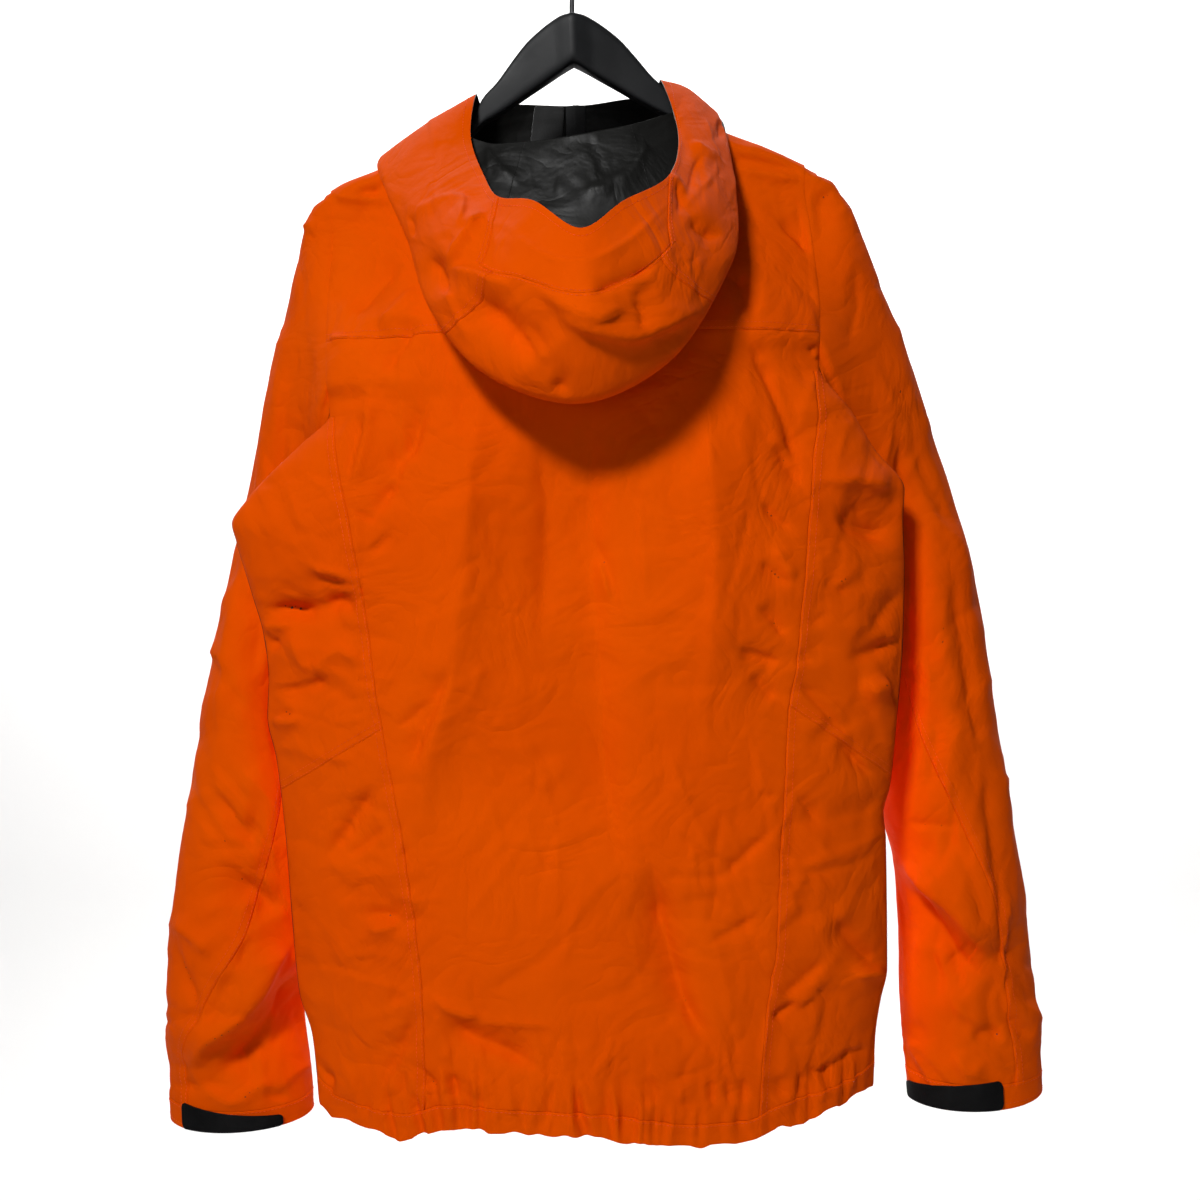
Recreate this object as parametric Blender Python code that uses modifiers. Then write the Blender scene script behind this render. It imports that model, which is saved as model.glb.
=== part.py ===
"""A shell jacket on a clothes hanger. Its back faces -Y, the wearer's left is -X, and it hangs from the
hook, whose bearing point is the origin. Lengths in the tables are millimetres; the model is metres."""

import math

import bmesh
import bpy
import numpy as np
from mathutils import Vector

MM = 0.001

# Driving sizes, in millimetres
CLOTH = 1.2  # thickness of a cloth wall
SEAM = 0.3  # gap between two pieces at a seam
HEM_HEIGHT = 17.0
CUFF_HEIGHT = 18.0
ZIP_X = 2.0  # the zip's centre line
ZIP_HALF = 8.0
SHOULDER_ROUND = 12.0  # how far down the cloth rounds over the hanger
BLADE_DROP = 170.0  # how far below the shoulder the back and chest reach their full depth
BACK_FULLNESS = 2.4
BACK_ROUNDNESS = 0.7
CHEST_NARROWNESS = 1.3
WING_SHARE = 0.6  # share of half the width out to which a wing's shape doesn't reach the front
CHEST_SIDE_Y = (20.0, -30.0)  # depth of a front's plain side line, high up and low down
CHEST_SIDE_TOP, CHEST_SIDE_FALL = 230.0, 240.0  # where it starts to change, and over how much height

ORANGE = (0.80, 0.09, 0.002)
BLACK = (0.012, 0.012, 0.013)
CHARCOAL = (0.03, 0.03, 0.031)
CHROME = (0.75, 0.76, 0.78)


def table(columns, rows):
    """Rows of numbers as one array for each named column."""
    return dict(zip(columns.split(), np.array(rows, float).T))


def smooth_through(x, y):
    """A smooth curve through points that doesn't overshoot them."""
    order = np.argsort(x)
    x, y = np.asarray(x, float)[order], np.asarray(y, float)[order]
    slope = np.diff(y) / np.diff(x)
    tangent = np.concatenate([slope[:1], np.zeros(len(x) - 2), slope[-1:]])
    before, after = slope[:-1], slope[1:]
    agree = before * after > 0
    tangent[1:-1][agree] = 2 * before[agree] * after[agree] / (before[agree] + after[agree])

    def value(at):
        at = np.clip(at, x[0], x[-1])
        i = np.clip(np.searchsorted(x, at, side="right") - 1, 0, len(x) - 2)
        width = x[i + 1] - x[i]
        t = (at - x[i]) / width
        rest = 1 - t
        return (
            (1 + 2 * t) * rest**2 * y[i]
            + t * rest**2 * width * tangent[i]
            + t**2 * (3 - 2 * t) * y[i + 1]
            - t**2 * rest * width * tangent[i + 1]
        )

    return value


def column_curve(rows, along, column):
    return smooth_through(rows[along], rows[column])


def ease(t):
    t = np.clip(t, 0, 1)
    return t * t * (3 - 2 * t)


def unit(vectors):
    return vectors / np.maximum(np.linalg.norm(vectors, axis=-1, keepdims=True), 1e-9)


# ---- Body -----------------------------------------------------------------------------------------

# Side edges of the body from the shoulder point down: the armhole, the ridge out to the underarm
# point, then the side fold down to the hem
LEFT_EDGE = table(
    "z x back_y front_y",
    [
        (-195, -187, 8, 12),
        (-209, -185, -5, 20),
        (-239, -184, -22, 28),
        (-279, -186, -34, 33),
        (-320, -185, -42, 22),
        (-345, -184, -45, 3),
        (-360, -183, -47, -20),
        (-373, -181, -48, -41),
        (-396, -203, -45, -40.5),
        (-419, -228, -40, -36),
        (-438, -246, -34, -30.5),
        (-455, -257, -30, -27),
        (-467, -254, -30, -27),
        (-510, -241, -30, -27),
        (-538, -233, -30, -27),
        (-572, -229, -30, -27),
        (-600, -230, -30, -27),
        (-633, -223, -30, -27),
        (-693, -216, -30, -27),
        (-757, -211, -30, -27),
        (-808, -206, -30, -27),
        (-842, -196, -30, -27),
        (-890, -191, -30, -27),
    ],
)
RIGHT_EDGE = table(
    "z x back_y front_y",
    [
        (-175, 180, 8, 12),
        (-193, 179, -5, 20),
        (-224, 183, -22, 28),
        (-256, 186, -34, 31),
        (-290, 188, -40, 21),
        (-312, 187, -43, 2),
        (-327, 187, -45, -20),
        (-338, 186, -46, -39),
        (-352, 194, -46, -41.5),
        (-367, 208, -43, -39),
        (-398, 228, -37, -33),
        (-429, 252, -30, -27),
        (-450, 251, -30, -27),
        (-490, 252, -30, -27),
        (-538, 251, -30, -27),
        (-605, 246, -30, -27),
        (-653, 241, -30, -27),
        (-673, 236, -30, -27),
        (-693, 238, -30, -27),
        (-791, 239, -30, -27),
        (-815, 234, -30, -27),
        (-842, 230, -30, -27),
        (-890, 228, -30, -27),
    ],
)
# Seams between the back panel and the side panels
LEFT_PRINCESS = table(
    "z x",
    [
        (-195, -182),
        (-239, -179),
        (-279, -181),
        (-320, -180),
        (-373, -177),
        (-417, -171),
        (-451, -163),
        (-504, -153),
        (-603, -138),
        (-682, -124),
        (-754, -113),
        (-800, -108),
        (-900, -105),
    ],
)
RIGHT_PRINCESS = table(
    "z x",
    [
        (-175, 175),
        (-193, 174),
        (-224, 178),
        (-256, 181),
        (-309, 183),
        (-338, 182),
        (-379, 184),
        (-408, 179),
        (-437, 176),
        (-504, 170),
        (-564, 165),
        (-597, 160),
        (-653, 157),
        (-719, 153),
        (-767, 151),
        (-809, 144),
        (-846, 140),
        (-900, 137),
    ],
)
# The line over each shoulder, and the neck seam between the shoulders at the back and the front. The last
# number is how far the cloth stands out below that line, where it has rounded over
SHOULDER = [
    (-187, -195, 14, 12),
    (-176, -189, 13, 12),
    (-148, -178, 11, 12),
    (-113, -158, 9, 12),
    (-93, -144, 7, 12),
    (91, -137, 7, 12),
    (115, -149, 9, 12),
    (145, -160, 11, 12),
    (180, -175, 14, 12),
]
BACK_NECK = [(-84, -158, -16, 4), (-62, -170, -28, 2), (-42, -172, -38, 1), (-20, -171, -44, 1)]
BACK_NECK += [(4, -168, -48, 1), (29, -163, -46, 1), (49, -157, -38, 2), (83, -143, -16, 4)]
FRONT_NECK = [(-86, -162, 34, 4), (-46, -200, 58, 2), (2, -206, 70, 1), (42, -197, 58, 2), (84, -158, 36, 4)]
BACK_TOP = table("x z y round", SHOULDER + BACK_NECK)
FRONT_TOP = table("x z y round", SHOULDER + FRONT_NECK)
# How far the middle of the back and of the front stand out at each height
DEPTH = table(
    "z back front",
    [
        (-150, -50, 62),
        (-230, -66, 78),
        (-310, -82, 86),
        (-400, -92, 84),
        (-520, -96, 78),
        (-640, -94, 72),
        (-760, -96, 70),
        (-900, -100, 70),
    ],
)
# The lower edge of the hem, which is lowest at the middle of the back
BACK_HEM = table(
    "x z",
    [
        (-191, -887),
        (-175, -899),
        (-124, -906),
        (-87, -897),
        (-25, -900),
        (20, -902),
        (54, -906),
        (86, -910),
        (126, -909),
        (153, -899),
        (187, -891),
        (212, -884),
        (228, -876),
    ],
)
FRONT_HEM = table("x z", [(-191, -887), (-120, -890), (0, -888), (120, -885), (228, -876)])

edge = {
    (side, column): column_curve(rows, "z", column)
    for side, rows in (("left", LEFT_EDGE), ("right", RIGHT_EDGE))
    for column in ("x", "back_y", "front_y")
}
princess = {
    "left": column_curve(LEFT_PRINCESS, "z", "x"),
    "right": column_curve(RIGHT_PRINCESS, "z", "x"),
}
top_line = {
    (sheet, column): column_curve(rows, "x", column)
    for sheet, rows in (("back", BACK_TOP), ("front", FRONT_TOP))
    for column in ("z", "y", "round")
}
depth = {sheet: column_curve(DEPTH, "z", sheet) for sheet in ("back", "front")}
hem_line = {
    "back": column_curve(BACK_HEM, "x", "z"),
    "front": column_curve(FRONT_HEM, "x", "z"),
}


def body_point(sheet, x, z):
    """The outer face of the body's back or front sheet at x and height z."""
    left, right = edge["left", "x"](z), edge["right", "x"](z)
    across = np.clip((2 * x - left - right) / (right - left), -1, 1)
    edge_y = edge["left", sheet + "_y"](z) * (1 - across) / 2 + edge["right", sheet + "_y"](z) * (1 + across) / 2
    if sheet == "back":
        fullness = (1 - np.abs(across) ** BACK_FULLNESS) ** BACK_ROUNDNESS
    else:
        fullness = np.cos(across * math.pi / 2).clip(0) ** CHEST_NARROWNESS
        plain_y = CHEST_SIDE_Y[0] + (CHEST_SIDE_Y[1] - CHEST_SIDE_Y[0]) * ease((-CHEST_SIDE_TOP - z) / CHEST_SIDE_FALL)
        edge_y = plain_y + (edge_y - plain_y) * ease((np.abs(across) - WING_SHARE) / (1 - WING_SHARE))
    full_y = edge_y + (depth[sheet](z) - edge_y) * fullness
    outward = 1 if sheet == "front" else -1
    top_y = top_line[sheet, "y"](x) + outward * SEAM / 2
    drop = (top_line[sheet, "z"](x) - z).clip(0)
    round_over = np.sqrt(1 - (1 - (drop / SHOULDER_ROUND).clip(0, 1)) ** 2)
    fall = ease(drop / BLADE_DROP)
    near_y = top_y + outward * top_line[sheet, "round"](x) * round_over
    return np.stack([x, near_y + (full_y - near_y) * fall, z], axis=-1)


def between(low, high, count):
    return low + (high - low) * np.linspace(0, 1, count + 1)


def across_body(share, z, stops):
    """x at a share of the width, where stops are the x curves that whole numbers of share stand for."""
    lines = np.array([stop(z) for stop in stops])
    i = int(min(share, len(stops) - 2 + 0.999999))
    return lines[i] + (lines[i + 1] - lines[i]) * (share - i)


def height_at(share, stops, height_of_x, start=-300.0):
    """The height at which a column of the body crosses a line that is given as height over x."""
    z = start
    for _ in range(12):
        z = float(height_of_x(across_body(share, z, stops)))
    return z


def body_grid(sheet, stops, shares, levels):
    """Points of a sheet: a column for each share of the width, rows spaced between the levels. A level is
    (height for a share, rows down to the next level, spacing power)."""
    columns = []
    for share in shares:
        heights = []
        for (upper, rows, power), (lower, _, _) in zip(levels[:-1], levels[1:]):
            high, low = upper(share), lower(share)
            heights.append(high + (low - high) * np.linspace(0, 1, rows + 1)[:-1] ** power)
        heights = np.concatenate(heights + [[levels[-1][0](share)]])
        x = np.array([float(across_body(share, z, stops)) for z in heights])
        columns.append(body_point(sheet, x, heights))
    return np.stack(columns, axis=1)


# ---- Sleeves --------------------------------------------------------------------------------------

# Each row is one section across a sleeve: its outer and inner points seen from the back, the middle of
# its depth, half its depth, and how far its near side hangs lower than its far side
LEFT_SLEEVE = table(
    "out_x out_z in_x in_z mid_y half dip",
    [
        (-187, -196, -182, -456, 10, 40, 0),
        (-203, -210, -189, -474, 28, 42, 0),
        (-212, -232, -193, -492, 33, 43, 0),
        (-222, -271, -195, -514, 36, 43, 0),
        (-232, -310, -197, -545, 37, 44, 0),
        (-246, -375, -199, -583, 36, 45, 0),
        (-259, -434, -200, -623, 38, 47, 0),
        (-275, -512, -199, -662, 41, 48, 0),
        (-291, -591, -196, -702, 42, 49, 2),
        (-303, -670, -199, -741, 40, 47, 4),
        (-311, -733, -205, -784, 37, 44, 6),
        (-316, -811, -211, -827, 34, 40, 8),
        (-316, -866, -207, -870, 32, 36, 9),
        (-315, -915, -203, -909, 30, 33, 10),
    ],
)
RIGHT_SLEEVE = table(
    "out_x out_z in_x in_z mid_y half dip",
    [
        (180, -176, 186, -430, 10, 40, 0),
        (212, -201, 196, -446, 20, 40, 0),
        (226, -231, 204, -462, 25, 40, 0),
        (244, -276, 211, -485, 29, 40, 0),
        (262, -319, 218, -513, 32, 42, 0),
        (280, -372, 226, -552, 36, 45, 0),
        (297, -424, 231, -591, 38, 47, 0),
        (317, -493, 236, -639, 41, 48, 0),
        (332, -583, 242, -678, 42, 49, 2),
        (344, -670, 253, -718, 40, 47, 4),
        (354, -741, 257, -767, 37, 44, 6),
        (362, -811, 256, -815, 34, 40, 8),
        (367, -866, 260, -862, 32, 36, 9),
        (368, -894, 263, -898, 30, 33, 10),
    ],
)
# Where a sleeve's back and front seams lie in its sections, as a share of the turn from the outer point
SLEEVE_SEAM = table(
    "section left right front",
    [
        (0, 0.46, 0.46, 0.80),
        (2, 0.46, 0.45, 0.74),
        (4, 0.44, 0.42, 0.68),
        (6, 0.38, 0.355, 0.62),
        (7, 0.345, 0.324, 0.62),
        (8, 0.32, 0.282, 0.62),
        (9, 0.30, 0.234, 0.62),
        (10, 0.275, 0.186, 0.62),
        (11, 0.20, 0.167, 0.62),
        (12, 0.135, 0.16, 0.62),
        (13, 0.14, 0.16, 0.62),
    ],
)
LAST_SECTION = 13
ARMHOLE_REACH = 4.5  # sections over which the armhole's outline fades into plain ovals
ARMHOLE_LIFT = 4.0  # between the start of a sleeve and the front that it lies on
SLEEVE_CLEAR = 12.0  # between the rest of a sleeve and the body that it hangs against
ARMHOLE_CLEAR = 0.8
# Where the ridge of each wing starts. Above it an armhole follows the body's back edge, below it the
# sleeve lies behind the wing, on the front
WING_CORNER = {"left": -373.0, "right": -339.0}
# The loop that each sleeve starts from: down the back to the underarm and up the front
LEFT_ARMHOLE = table(
    "turn x z",
    [
        (0.00, -187.8, -196),
        (0.10, -185, -222),
        (0.20, -187, -278),
        (0.30, -186, -336),
        (0.36, -183, -366),
        (0.41, -193, -400),
        (0.46, -192, -436),
        (0.50, -182, -456),
        (0.54, -171, -448),
        (0.60, -162, -416),
        (0.68, -160, -370),
        (0.76, -170, -320),
        (0.84, -184, -270),
        (0.92, -186, -222),
        (1.00, -187.8, -196),
    ],
)
RIGHT_ARMHOLE = table(
    "turn x z",
    [
        (0.00, 180.8, -176),
        (0.10, 180, -203),
        (0.20, 186, -254),
        (0.30, 188, -308),
        (0.36, 187, -333),
        (0.41, 197, -368),
        (0.46, 197, -408),
        (0.50, 186, -430),
        (0.54, 174, -422),
        (0.60, 164, -390),
        (0.68, 161, -344),
        (0.76, 171, -296),
        (0.84, 184, -248),
        (0.92, 180.5, -202),
        (1.00, 180.8, -176),
    ],
)


def armhole_point(side, turn):
    """A point of the loop that a sleeve starts from."""
    rows = LEFT_ARMHOLE if side == "left" else RIGHT_ARMHOLE
    turn = np.mod(turn, 1)
    x, z = (smooth_through(rows["turn"], rows[axis])(turn) for axis in "xz")
    outward = -1 if side == "left" else 1
    on_edge = (turn < 0.5) & (z > WING_CORNER[side])
    x = np.where(on_edge, edge[side, "x"](z) + outward * ARMHOLE_CLEAR, x)
    back, front = (body_point(sheet, x, z)[..., 1] for sheet in ("back", "front"))
    clear = ARMHOLE_LIFT * np.where(turn < 0.5, 1, 1.5 * np.sin(math.pi * (1 - turn).clip(0, 0.5)))
    return np.stack([x, np.where(on_edge, back, front + clear), z], axis=-1)


def sleeve_point(side, turn, section):
    rows = LEFT_SLEEVE if side == "left" else RIGHT_SLEEVE
    at = {name: smooth_through(np.arange(LAST_SECTION + 1), rows[name])(section) for name in rows}
    swing, depth_wave = np.cos(2 * math.pi * turn), np.sin(2 * math.pi * turn)
    x = (at["out_x"] + at["in_x"]) / 2 + (at["out_x"] - at["in_x"]) / 2 * swing
    z = (at["out_z"] + at["in_z"]) / 2 + (at["out_z"] - at["in_z"]) / 2 * swing
    oval = np.stack([x, at["mid_y"] - at["half"] * depth_wave, z - at["dip"] * depth_wave], axis=-1)
    start = armhole_point(side, turn)
    first = {
        axis: (rows[f"out_{axis}"][0] + rows[f"in_{axis}"][0]) / 2
        + (rows[f"out_{axis}"][0] - rows[f"in_{axis}"][0]) / 2 * swing
        for axis in "xz"
    }
    pulled = np.stack(
        [x + start[..., 0] - first["x"], start[..., 1], z + start[..., 2] - first["z"]], axis=-1
    )
    share = ((1 - section / ARMHOLE_REACH).clip(0) ** 1.5)[..., None]
    point = share * pulled + (1 - share) * oval
    return clear_of_body(side, point, ARMHOLE_LIFT + (SLEEVE_CLEAR - ARMHOLE_LIFT) * ease(section / 0.9))


def clear_of_body(side, point, clear):
    """Above the wing's corner a sleeve stays outside the body's edge; below it, in front of the body."""
    outward = -1 if side == "left" else 1
    x, y, z = point[..., 0], point[..., 1], point[..., 2]
    edge_x = edge[side, "x"](z)
    outside = outward * (x - edge_x)
    near = y < body_point("front", x, z)[..., 1]
    beside = near & (z > WING_CORNER[side]) & (outside < ARMHOLE_CLEAR)
    x = np.where(beside, edge_x + outward * ARMHOLE_CLEAR, x)
    front = body_point("front", x, z)[..., 1]
    before = (z <= WING_CORNER[side]) & (outside < clear)
    return np.stack([x, np.where(before, np.maximum(y, front + clear), y), z], axis=-1)


def cuff_section(side):
    """The section number at which the cuff's hem starts."""
    rows = LEFT_SLEEVE if side == "left" else RIGHT_SLEEVE
    last_step = rows["out_z"][-2] - rows["out_z"][-1]
    return LAST_SECTION - CUFF_HEIGHT / last_step


def sleeve_grid(side, outer_columns, under_columns, rows):
    seam, front = (smooth_through(SLEEVE_SEAM["section"], SLEEVE_SEAM[name]) for name in (side, "front"))
    sections = np.concatenate([between(0, cuff_section(side), rows), [LAST_SECTION]])
    turns = np.array(
        [
            np.concatenate(
                [
                    between(front(section) - 1, seam(section), outer_columns)[:-1],
                    between(seam(section), front(section), under_columns)[:-1],
                ]
            )
            for section in sections
        ]
    )
    return sleeve_point(side, turns, np.repeat(sections[:, None], turns.shape[1], axis=1))


# ---- Hood and collar ------------------------------------------------------------------------------

# Rows go round the neck from the zip over the wearer's left shoulder, the back and the right shoulder.
# Each gives x, z and y on five loops: the face opening, the bulge below it, the outline of the hood
# where it lies on the back, the layer tucked under that, and the neck seam.
HOOD = table(
    "open_x open_z open_y bulge_x bulge_z bulge_y line_x line_z line_y under_x under_z under_y neck_x neck_z neck_y",
    [
        (2, -114, 78, 2, -132, 82, 2, -156, 82, 2, -181, 77, 2, -203, 70),
        (-49, -116, 64, -55, -138, 72, -59, -161, 74, -51, -182, 68, -46, -198, 58),
        (-70, -124, 40, -93, -145, 44, -113, -167, 48, -97, -165, 42, -87, -158, 34),
        (-74, -124, -3, -112, -146, 4, -149, -172, 8, -113, -153, 3, -93, -140, 7),
        (-76, -163, -32, -108, -186, -42, -139, -206, -32, -111, -188, -28, -86, -155, -16),
        (-63, -202, -78, -91, -240, -102, -121, -246, -66, -98, -222, -52, -63, -167, -28),
        (-51, -223, -112, -64, -280, -142, -101, -303, -106, -74, -259, -80, -42, -169, -38),
        (-25, -231, -140, -35, -294, -166, -60, -353, -135, -36, -288, -101, -20, -168, -44),
        (8, -255, -168, 8, -308, -186, 7, -375, -148, 6, -296, -107, 4, -165, -48),
        (38, -232, -145, 44, -295, -172, 70, -345, -138, 47, -285, -101, 29, -160, -46),
        (71, -207, -108, 73, -266, -142, 110, -284, -106, 80, -249, -82, 50, -154, -38),
        (80, -164, -50, 100, -217, -90, 124, -233, -66, 94, -207, -56, 81, -140, -16),
        (69, -113, -1, 93, -122, 4, 115, -141, 6, 100, -133, 3, 92, -133, 7),
        (64, -114, 38, 80, -128, 42, 93, -149, 46, 87, -156, 42, 84, -153, 34),
        (38, -112, 66, 42, -130, 74, 50, -154, 78, 44, -177, 68, 42, -194, 58),
    ],
)
LOOPS = ("open", "bulge", "line", "under", "neck")
STATIONS = len(HOOD["open_x"])
LAST_LOOP = len(LOOPS) - 1
hood_cage = np.stack(
    [np.stack([HOOD[f"{loop}_{axis}"] for axis in "xyz"], axis=-1) for loop in LOOPS], axis=0
)


def spline(before, start, end, after, t):
    """The smooth curve from start to end that also heeds the point before and the point after."""
    return 0.5 * (
        2 * start
        + (end - before) * t
        + (2 * before - 5 * start + 4 * end - after) * t**2
        + (3 * start - before - 3 * end + after) * t**3
    )


FOLD_HALF = 2.2  # half the thickness of the fold along the hood's outline
FOLD_LOOPS = 0.16  # loops over which the fold reaches that thickness
FOLD_FROM, FOLD_TO = 1.2, 13.6  # stations between which the hood folds


def hood_point(station, loop):
    """The outer face of the hood and collar: station goes round, loop from the opening to the neck."""
    i, t = int(math.floor(station)), station - math.floor(station)
    around = [hood_cage[:, (i + k) % STATIONS] for k in (-1, 0, 1, 2)]
    ribs = spline(*around, t)
    j = int(min(math.floor(loop), LAST_LOOP - 1))
    rib = [ribs[min(max(j + k, 0), LAST_LOOP)] for k in (-1, 0, 1, 2)]
    layers = unit(ribs[1] - ribs[3])
    folded = ease((station - FOLD_FROM) / 0.8) * ease((FOLD_TO - station) / 0.8)
    apart = max(-1.0, min(1.0, (2 - loop) / FOLD_LOOPS)) * min(1.0, loop, LAST_LOOP - loop)
    return spline(*rib, loop - j) + layers * (FOLD_HALF * folded * apart)


# Columns round the hood and rows down it: the seams lie on whole columns and rows
COLLAR_LEFT = (0.17, 0.75, 1.4, 2.0, 2.3)
SIDE_LEFT = (2.65, 3.0, 3.35, 3.8, 4.3, 4.9, 5.5, 6.0)
BRIM = (6.35, 7.1, 8.0, 8.9, 9.75, 10.0)
SIDE_RIGHT = (10.5, 11.1, 11.55, 11.85, 12.15, 12.45, 12.8)
COLLAR_RIGHT = (13.15, 13.6, 14.2, 14.83)
HOOD_COLUMNS = COLLAR_LEFT + SIDE_LEFT + BRIM + SIDE_RIGHT + COLLAR_RIGHT
BRIM_EDGE = 0.92
HOOD_ROWS = (0.0, 0.3, 0.6, BRIM_EDGE, 1.25, 1.55, 1.8, 2.0, 2.2, 2.5, 2.95, 3.45, 4.0)


# ---- Walls ----------------------------------------------------------------------------------------


def differences(points, axis, wrap):
    """Directions along an axis of a grid. Both neighbours count alike, however far away they are."""
    points = np.moveaxis(points, axis, 0)
    after = unit(np.roll(points, -1, axis=0) - points)
    before = np.roll(after, 1, axis=0)
    if not wrap:
        after[-1], before[0] = before[-1], after[0]
    return np.moveaxis(after + before, 0, axis)


def frame_of(points, wrap=False):
    """Directions along the columns and the rows, and the outward normal, at each point of a grid."""
    around = unit(differences(points, 1, wrap))
    down = unit(differences(points, 0, False))
    return points, around, down, unit(np.cross(down, around))


def over_shoulders(grid, neck_from, neck_to):
    """Level the top row of a sheet where it turns over the shoulders, outside the neck."""
    points, around, down, normal = grid
    beyond = (points[0, :, 0] < neck_from) | (points[0, :, 0] > neck_to)
    normal[0, beyond] = unit(normal[0, beyond] * (1, 0, 1))
    down[0, beyond] = unit(down[0, beyond] * (0, 1, 0))
    return grid


def wall(name, grid, cells, material, wrap=False, thick=CLOTH, lift=0.0, inset=SEAM / 2):
    """A piece of cloth: the chosen cells of a grid of points, as a wall whose outer face is on the grid.
    The edges of the piece are drawn in by inset, which leaves the gap at a seam."""
    points, around, down, normal = grid
    rows, columns = points.shape[:2]
    reach = np.zeros((rows, columns, 2))
    used = np.zeros((rows, columns), bool)
    for r, c in np.argwhere(cells):
        for dr in (0, 1):
            for dc in (0, 1):
                at = (r + dr, (c + dc) % columns)
                used[at] = True
                reach[at] += (1 - 2 * dc, 1 - 2 * dr)
    shift = inset * np.sign(reach)
    outer = points + shift[..., :1] * around + shift[..., 1:] * down + lift * normal
    inner = outer - thick * normal
    number = -np.ones((rows, columns), int)
    number[used] = np.arange(used.sum())
    count = int(used.sum())
    corners = np.concatenate([outer[used], inner[used]]) * MM
    faces = []
    rim = set()
    for r, c in np.argwhere(cells):
        quad = [number[r, c], number[r + 1, c], number[r + 1, (c + 1) % columns], number[r, (c + 1) % columns]]
        faces.append(quad)
        faces.append([k + count for k in reversed(quad)])
        for start, end in zip(quad, quad[1:] + quad[:1]):
            if (end, start) in rim:
                rim.remove((end, start))
            else:
                rim.add((start, end))
    faces += [[end, start, start + count, end + count] for start, end in sorted(rim)]
    return add_mesh(name, corners, faces, material)


def add_mesh(name, corners, faces, material):
    mesh = bpy.data.meshes.new(name)
    mesh.from_pydata([tuple(map(float, corner)) for corner in corners], [], [list(map(int, f)) for f in faces])
    bm = bmesh.new()
    bm.from_mesh(mesh)
    bmesh.ops.triangulate(bm, faces=bm.faces[:])
    bm.to_mesh(mesh)
    bm.free()
    mesh.shade_smooth()
    return add_object(name, mesh, material)


def add_object(name, data, material):
    piece = bpy.data.objects.new(name, data)
    data.materials.append(material)
    parts.objects.link(piece)
    return piece


def make_material(name, colour, roughness, metallic=0.0):
    material = bpy.data.materials.new(name)
    material.use_nodes = True
    shader = material.node_tree.nodes["Principled BSDF"]
    shader.inputs["Base Color"].default_value = (*colour, 1)
    shader.inputs["Roughness"].default_value = roughness
    shader.inputs["Metallic"].default_value = metallic
    return material


# ---- Pieces ---------------------------------------------------------------------------------------

SIDE_COLUMNS = 5
# Where columns of the back and the fronts start along their top edges
BACK_TOP_COLUMNS = (-180, -138, -93.5, -84, -62, -32, 4, 36, 62, 83, 91.5, 134, 175)
LEFT_TOP_COLUMNS = (-187, -170, -148, -120, -93.5, -86, -62, -34, -6)
RIGHT_TOP_COLUMNS = (10, 34, 60, 84, 91.5, 116, 142, 164, 180)
SIDE_POWER = 1.4  # side columns are closer together towards the side
YOKE_ROWS, SHOULDER_BLADE_ROWS, WING_ROWS, UPPER_ROWS, LOWER_ROWS = 6, 1, 4, 5, 5
# Heights where lines of the back cross the left edge, the two princess seams and the right edge
YOKE_SEAM = (-318, -318, -312, -312)
WING_START = (-376, -376, -341, -341)
UNDERARM_LINE = (-455, -455, -429, -429)
SLANTING_SEAM = (-656, -607, -590, -646)
NECK_FROM, NECK_TO = -88.0, 86.0


def spaced(places):
    """Places along a line as shares of its length."""
    places = np.array(places, float)
    return (places - places[0]) / (places[-1] - places[0])


def level(heights):
    """A line across the back, as its height over the share of the width."""
    return lambda share: float(np.interp(share, [0, 1, 2, 3], heights))


def make_back(materials):
    stops = [edge["left", "x"], princess["left"], princess["right"], edge["right", "x"]]
    side_shares = np.linspace(0, 1, SIDE_COLUMNS + 1) ** SIDE_POWER
    shares = np.concatenate([side_shares[:-1], 1 + spaced(BACK_TOP_COLUMNS)[:-1], 3 - side_shares[::-1]])

    def hem(share):
        return height_at(share, stops, hem_line["back"], -890.0)

    levels = [
        (lambda share: height_at(share, stops, top_line["back", "z"], -170.0), YOKE_ROWS, 1.8),
        (level(YOKE_SEAM), SHOULDER_BLADE_ROWS, 1),
        (level(WING_START), WING_ROWS, 1),
        (level(UNDERARM_LINE), UPPER_ROWS, 1),
        (level(SLANTING_SEAM), LOWER_ROWS, 1),
        (lambda share: hem(share) + HEM_HEIGHT, 1, 1),
        (hem, 0, 1),
    ]
    grid = over_shoulders(frame_of(body_grid("back", stops, shares, levels)), NECK_FROM, NECK_TO)
    rows, columns = grid[0].shape[:2]
    row, column = np.indices((rows - 1, columns - 1))
    seams = np.cumsum([YOKE_ROWS, SHOULDER_BLADE_ROWS, WING_ROWS + UPPER_ROWS, LOWER_ROWS])
    left, right = column < SIDE_COLUMNS, column >= columns - 1 - SIDE_COLUMNS
    middle = ~left & ~right
    upper = (row >= seams[1]) & (row < seams[2])
    lower = (row >= seams[2]) & (row < seams[3])
    orange = materials["orange"]
    wall("back_yoke", grid, row < seams[0], orange)
    wall("back_panel", grid, (row >= seams[0]) & (row < seams[3]) & (middle | (row < seams[1])), orange)
    for side, chosen in (("left", left), ("right", right)):
        wall(f"side_upper_{side}", grid, chosen & upper, orange)
        wall(f"side_lower_{side}", grid, chosen & lower, orange)
    wall("hem_back", grid, row >= seams[3], orange)


CHEST_ROWS, FRONT_WING_ROWS, FRONT_LOWER_ROWS = 6, 4, 6
FRONT_ROWS = CHEST_ROWS + FRONT_WING_ROWS + FRONT_LOWER_ROWS


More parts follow.
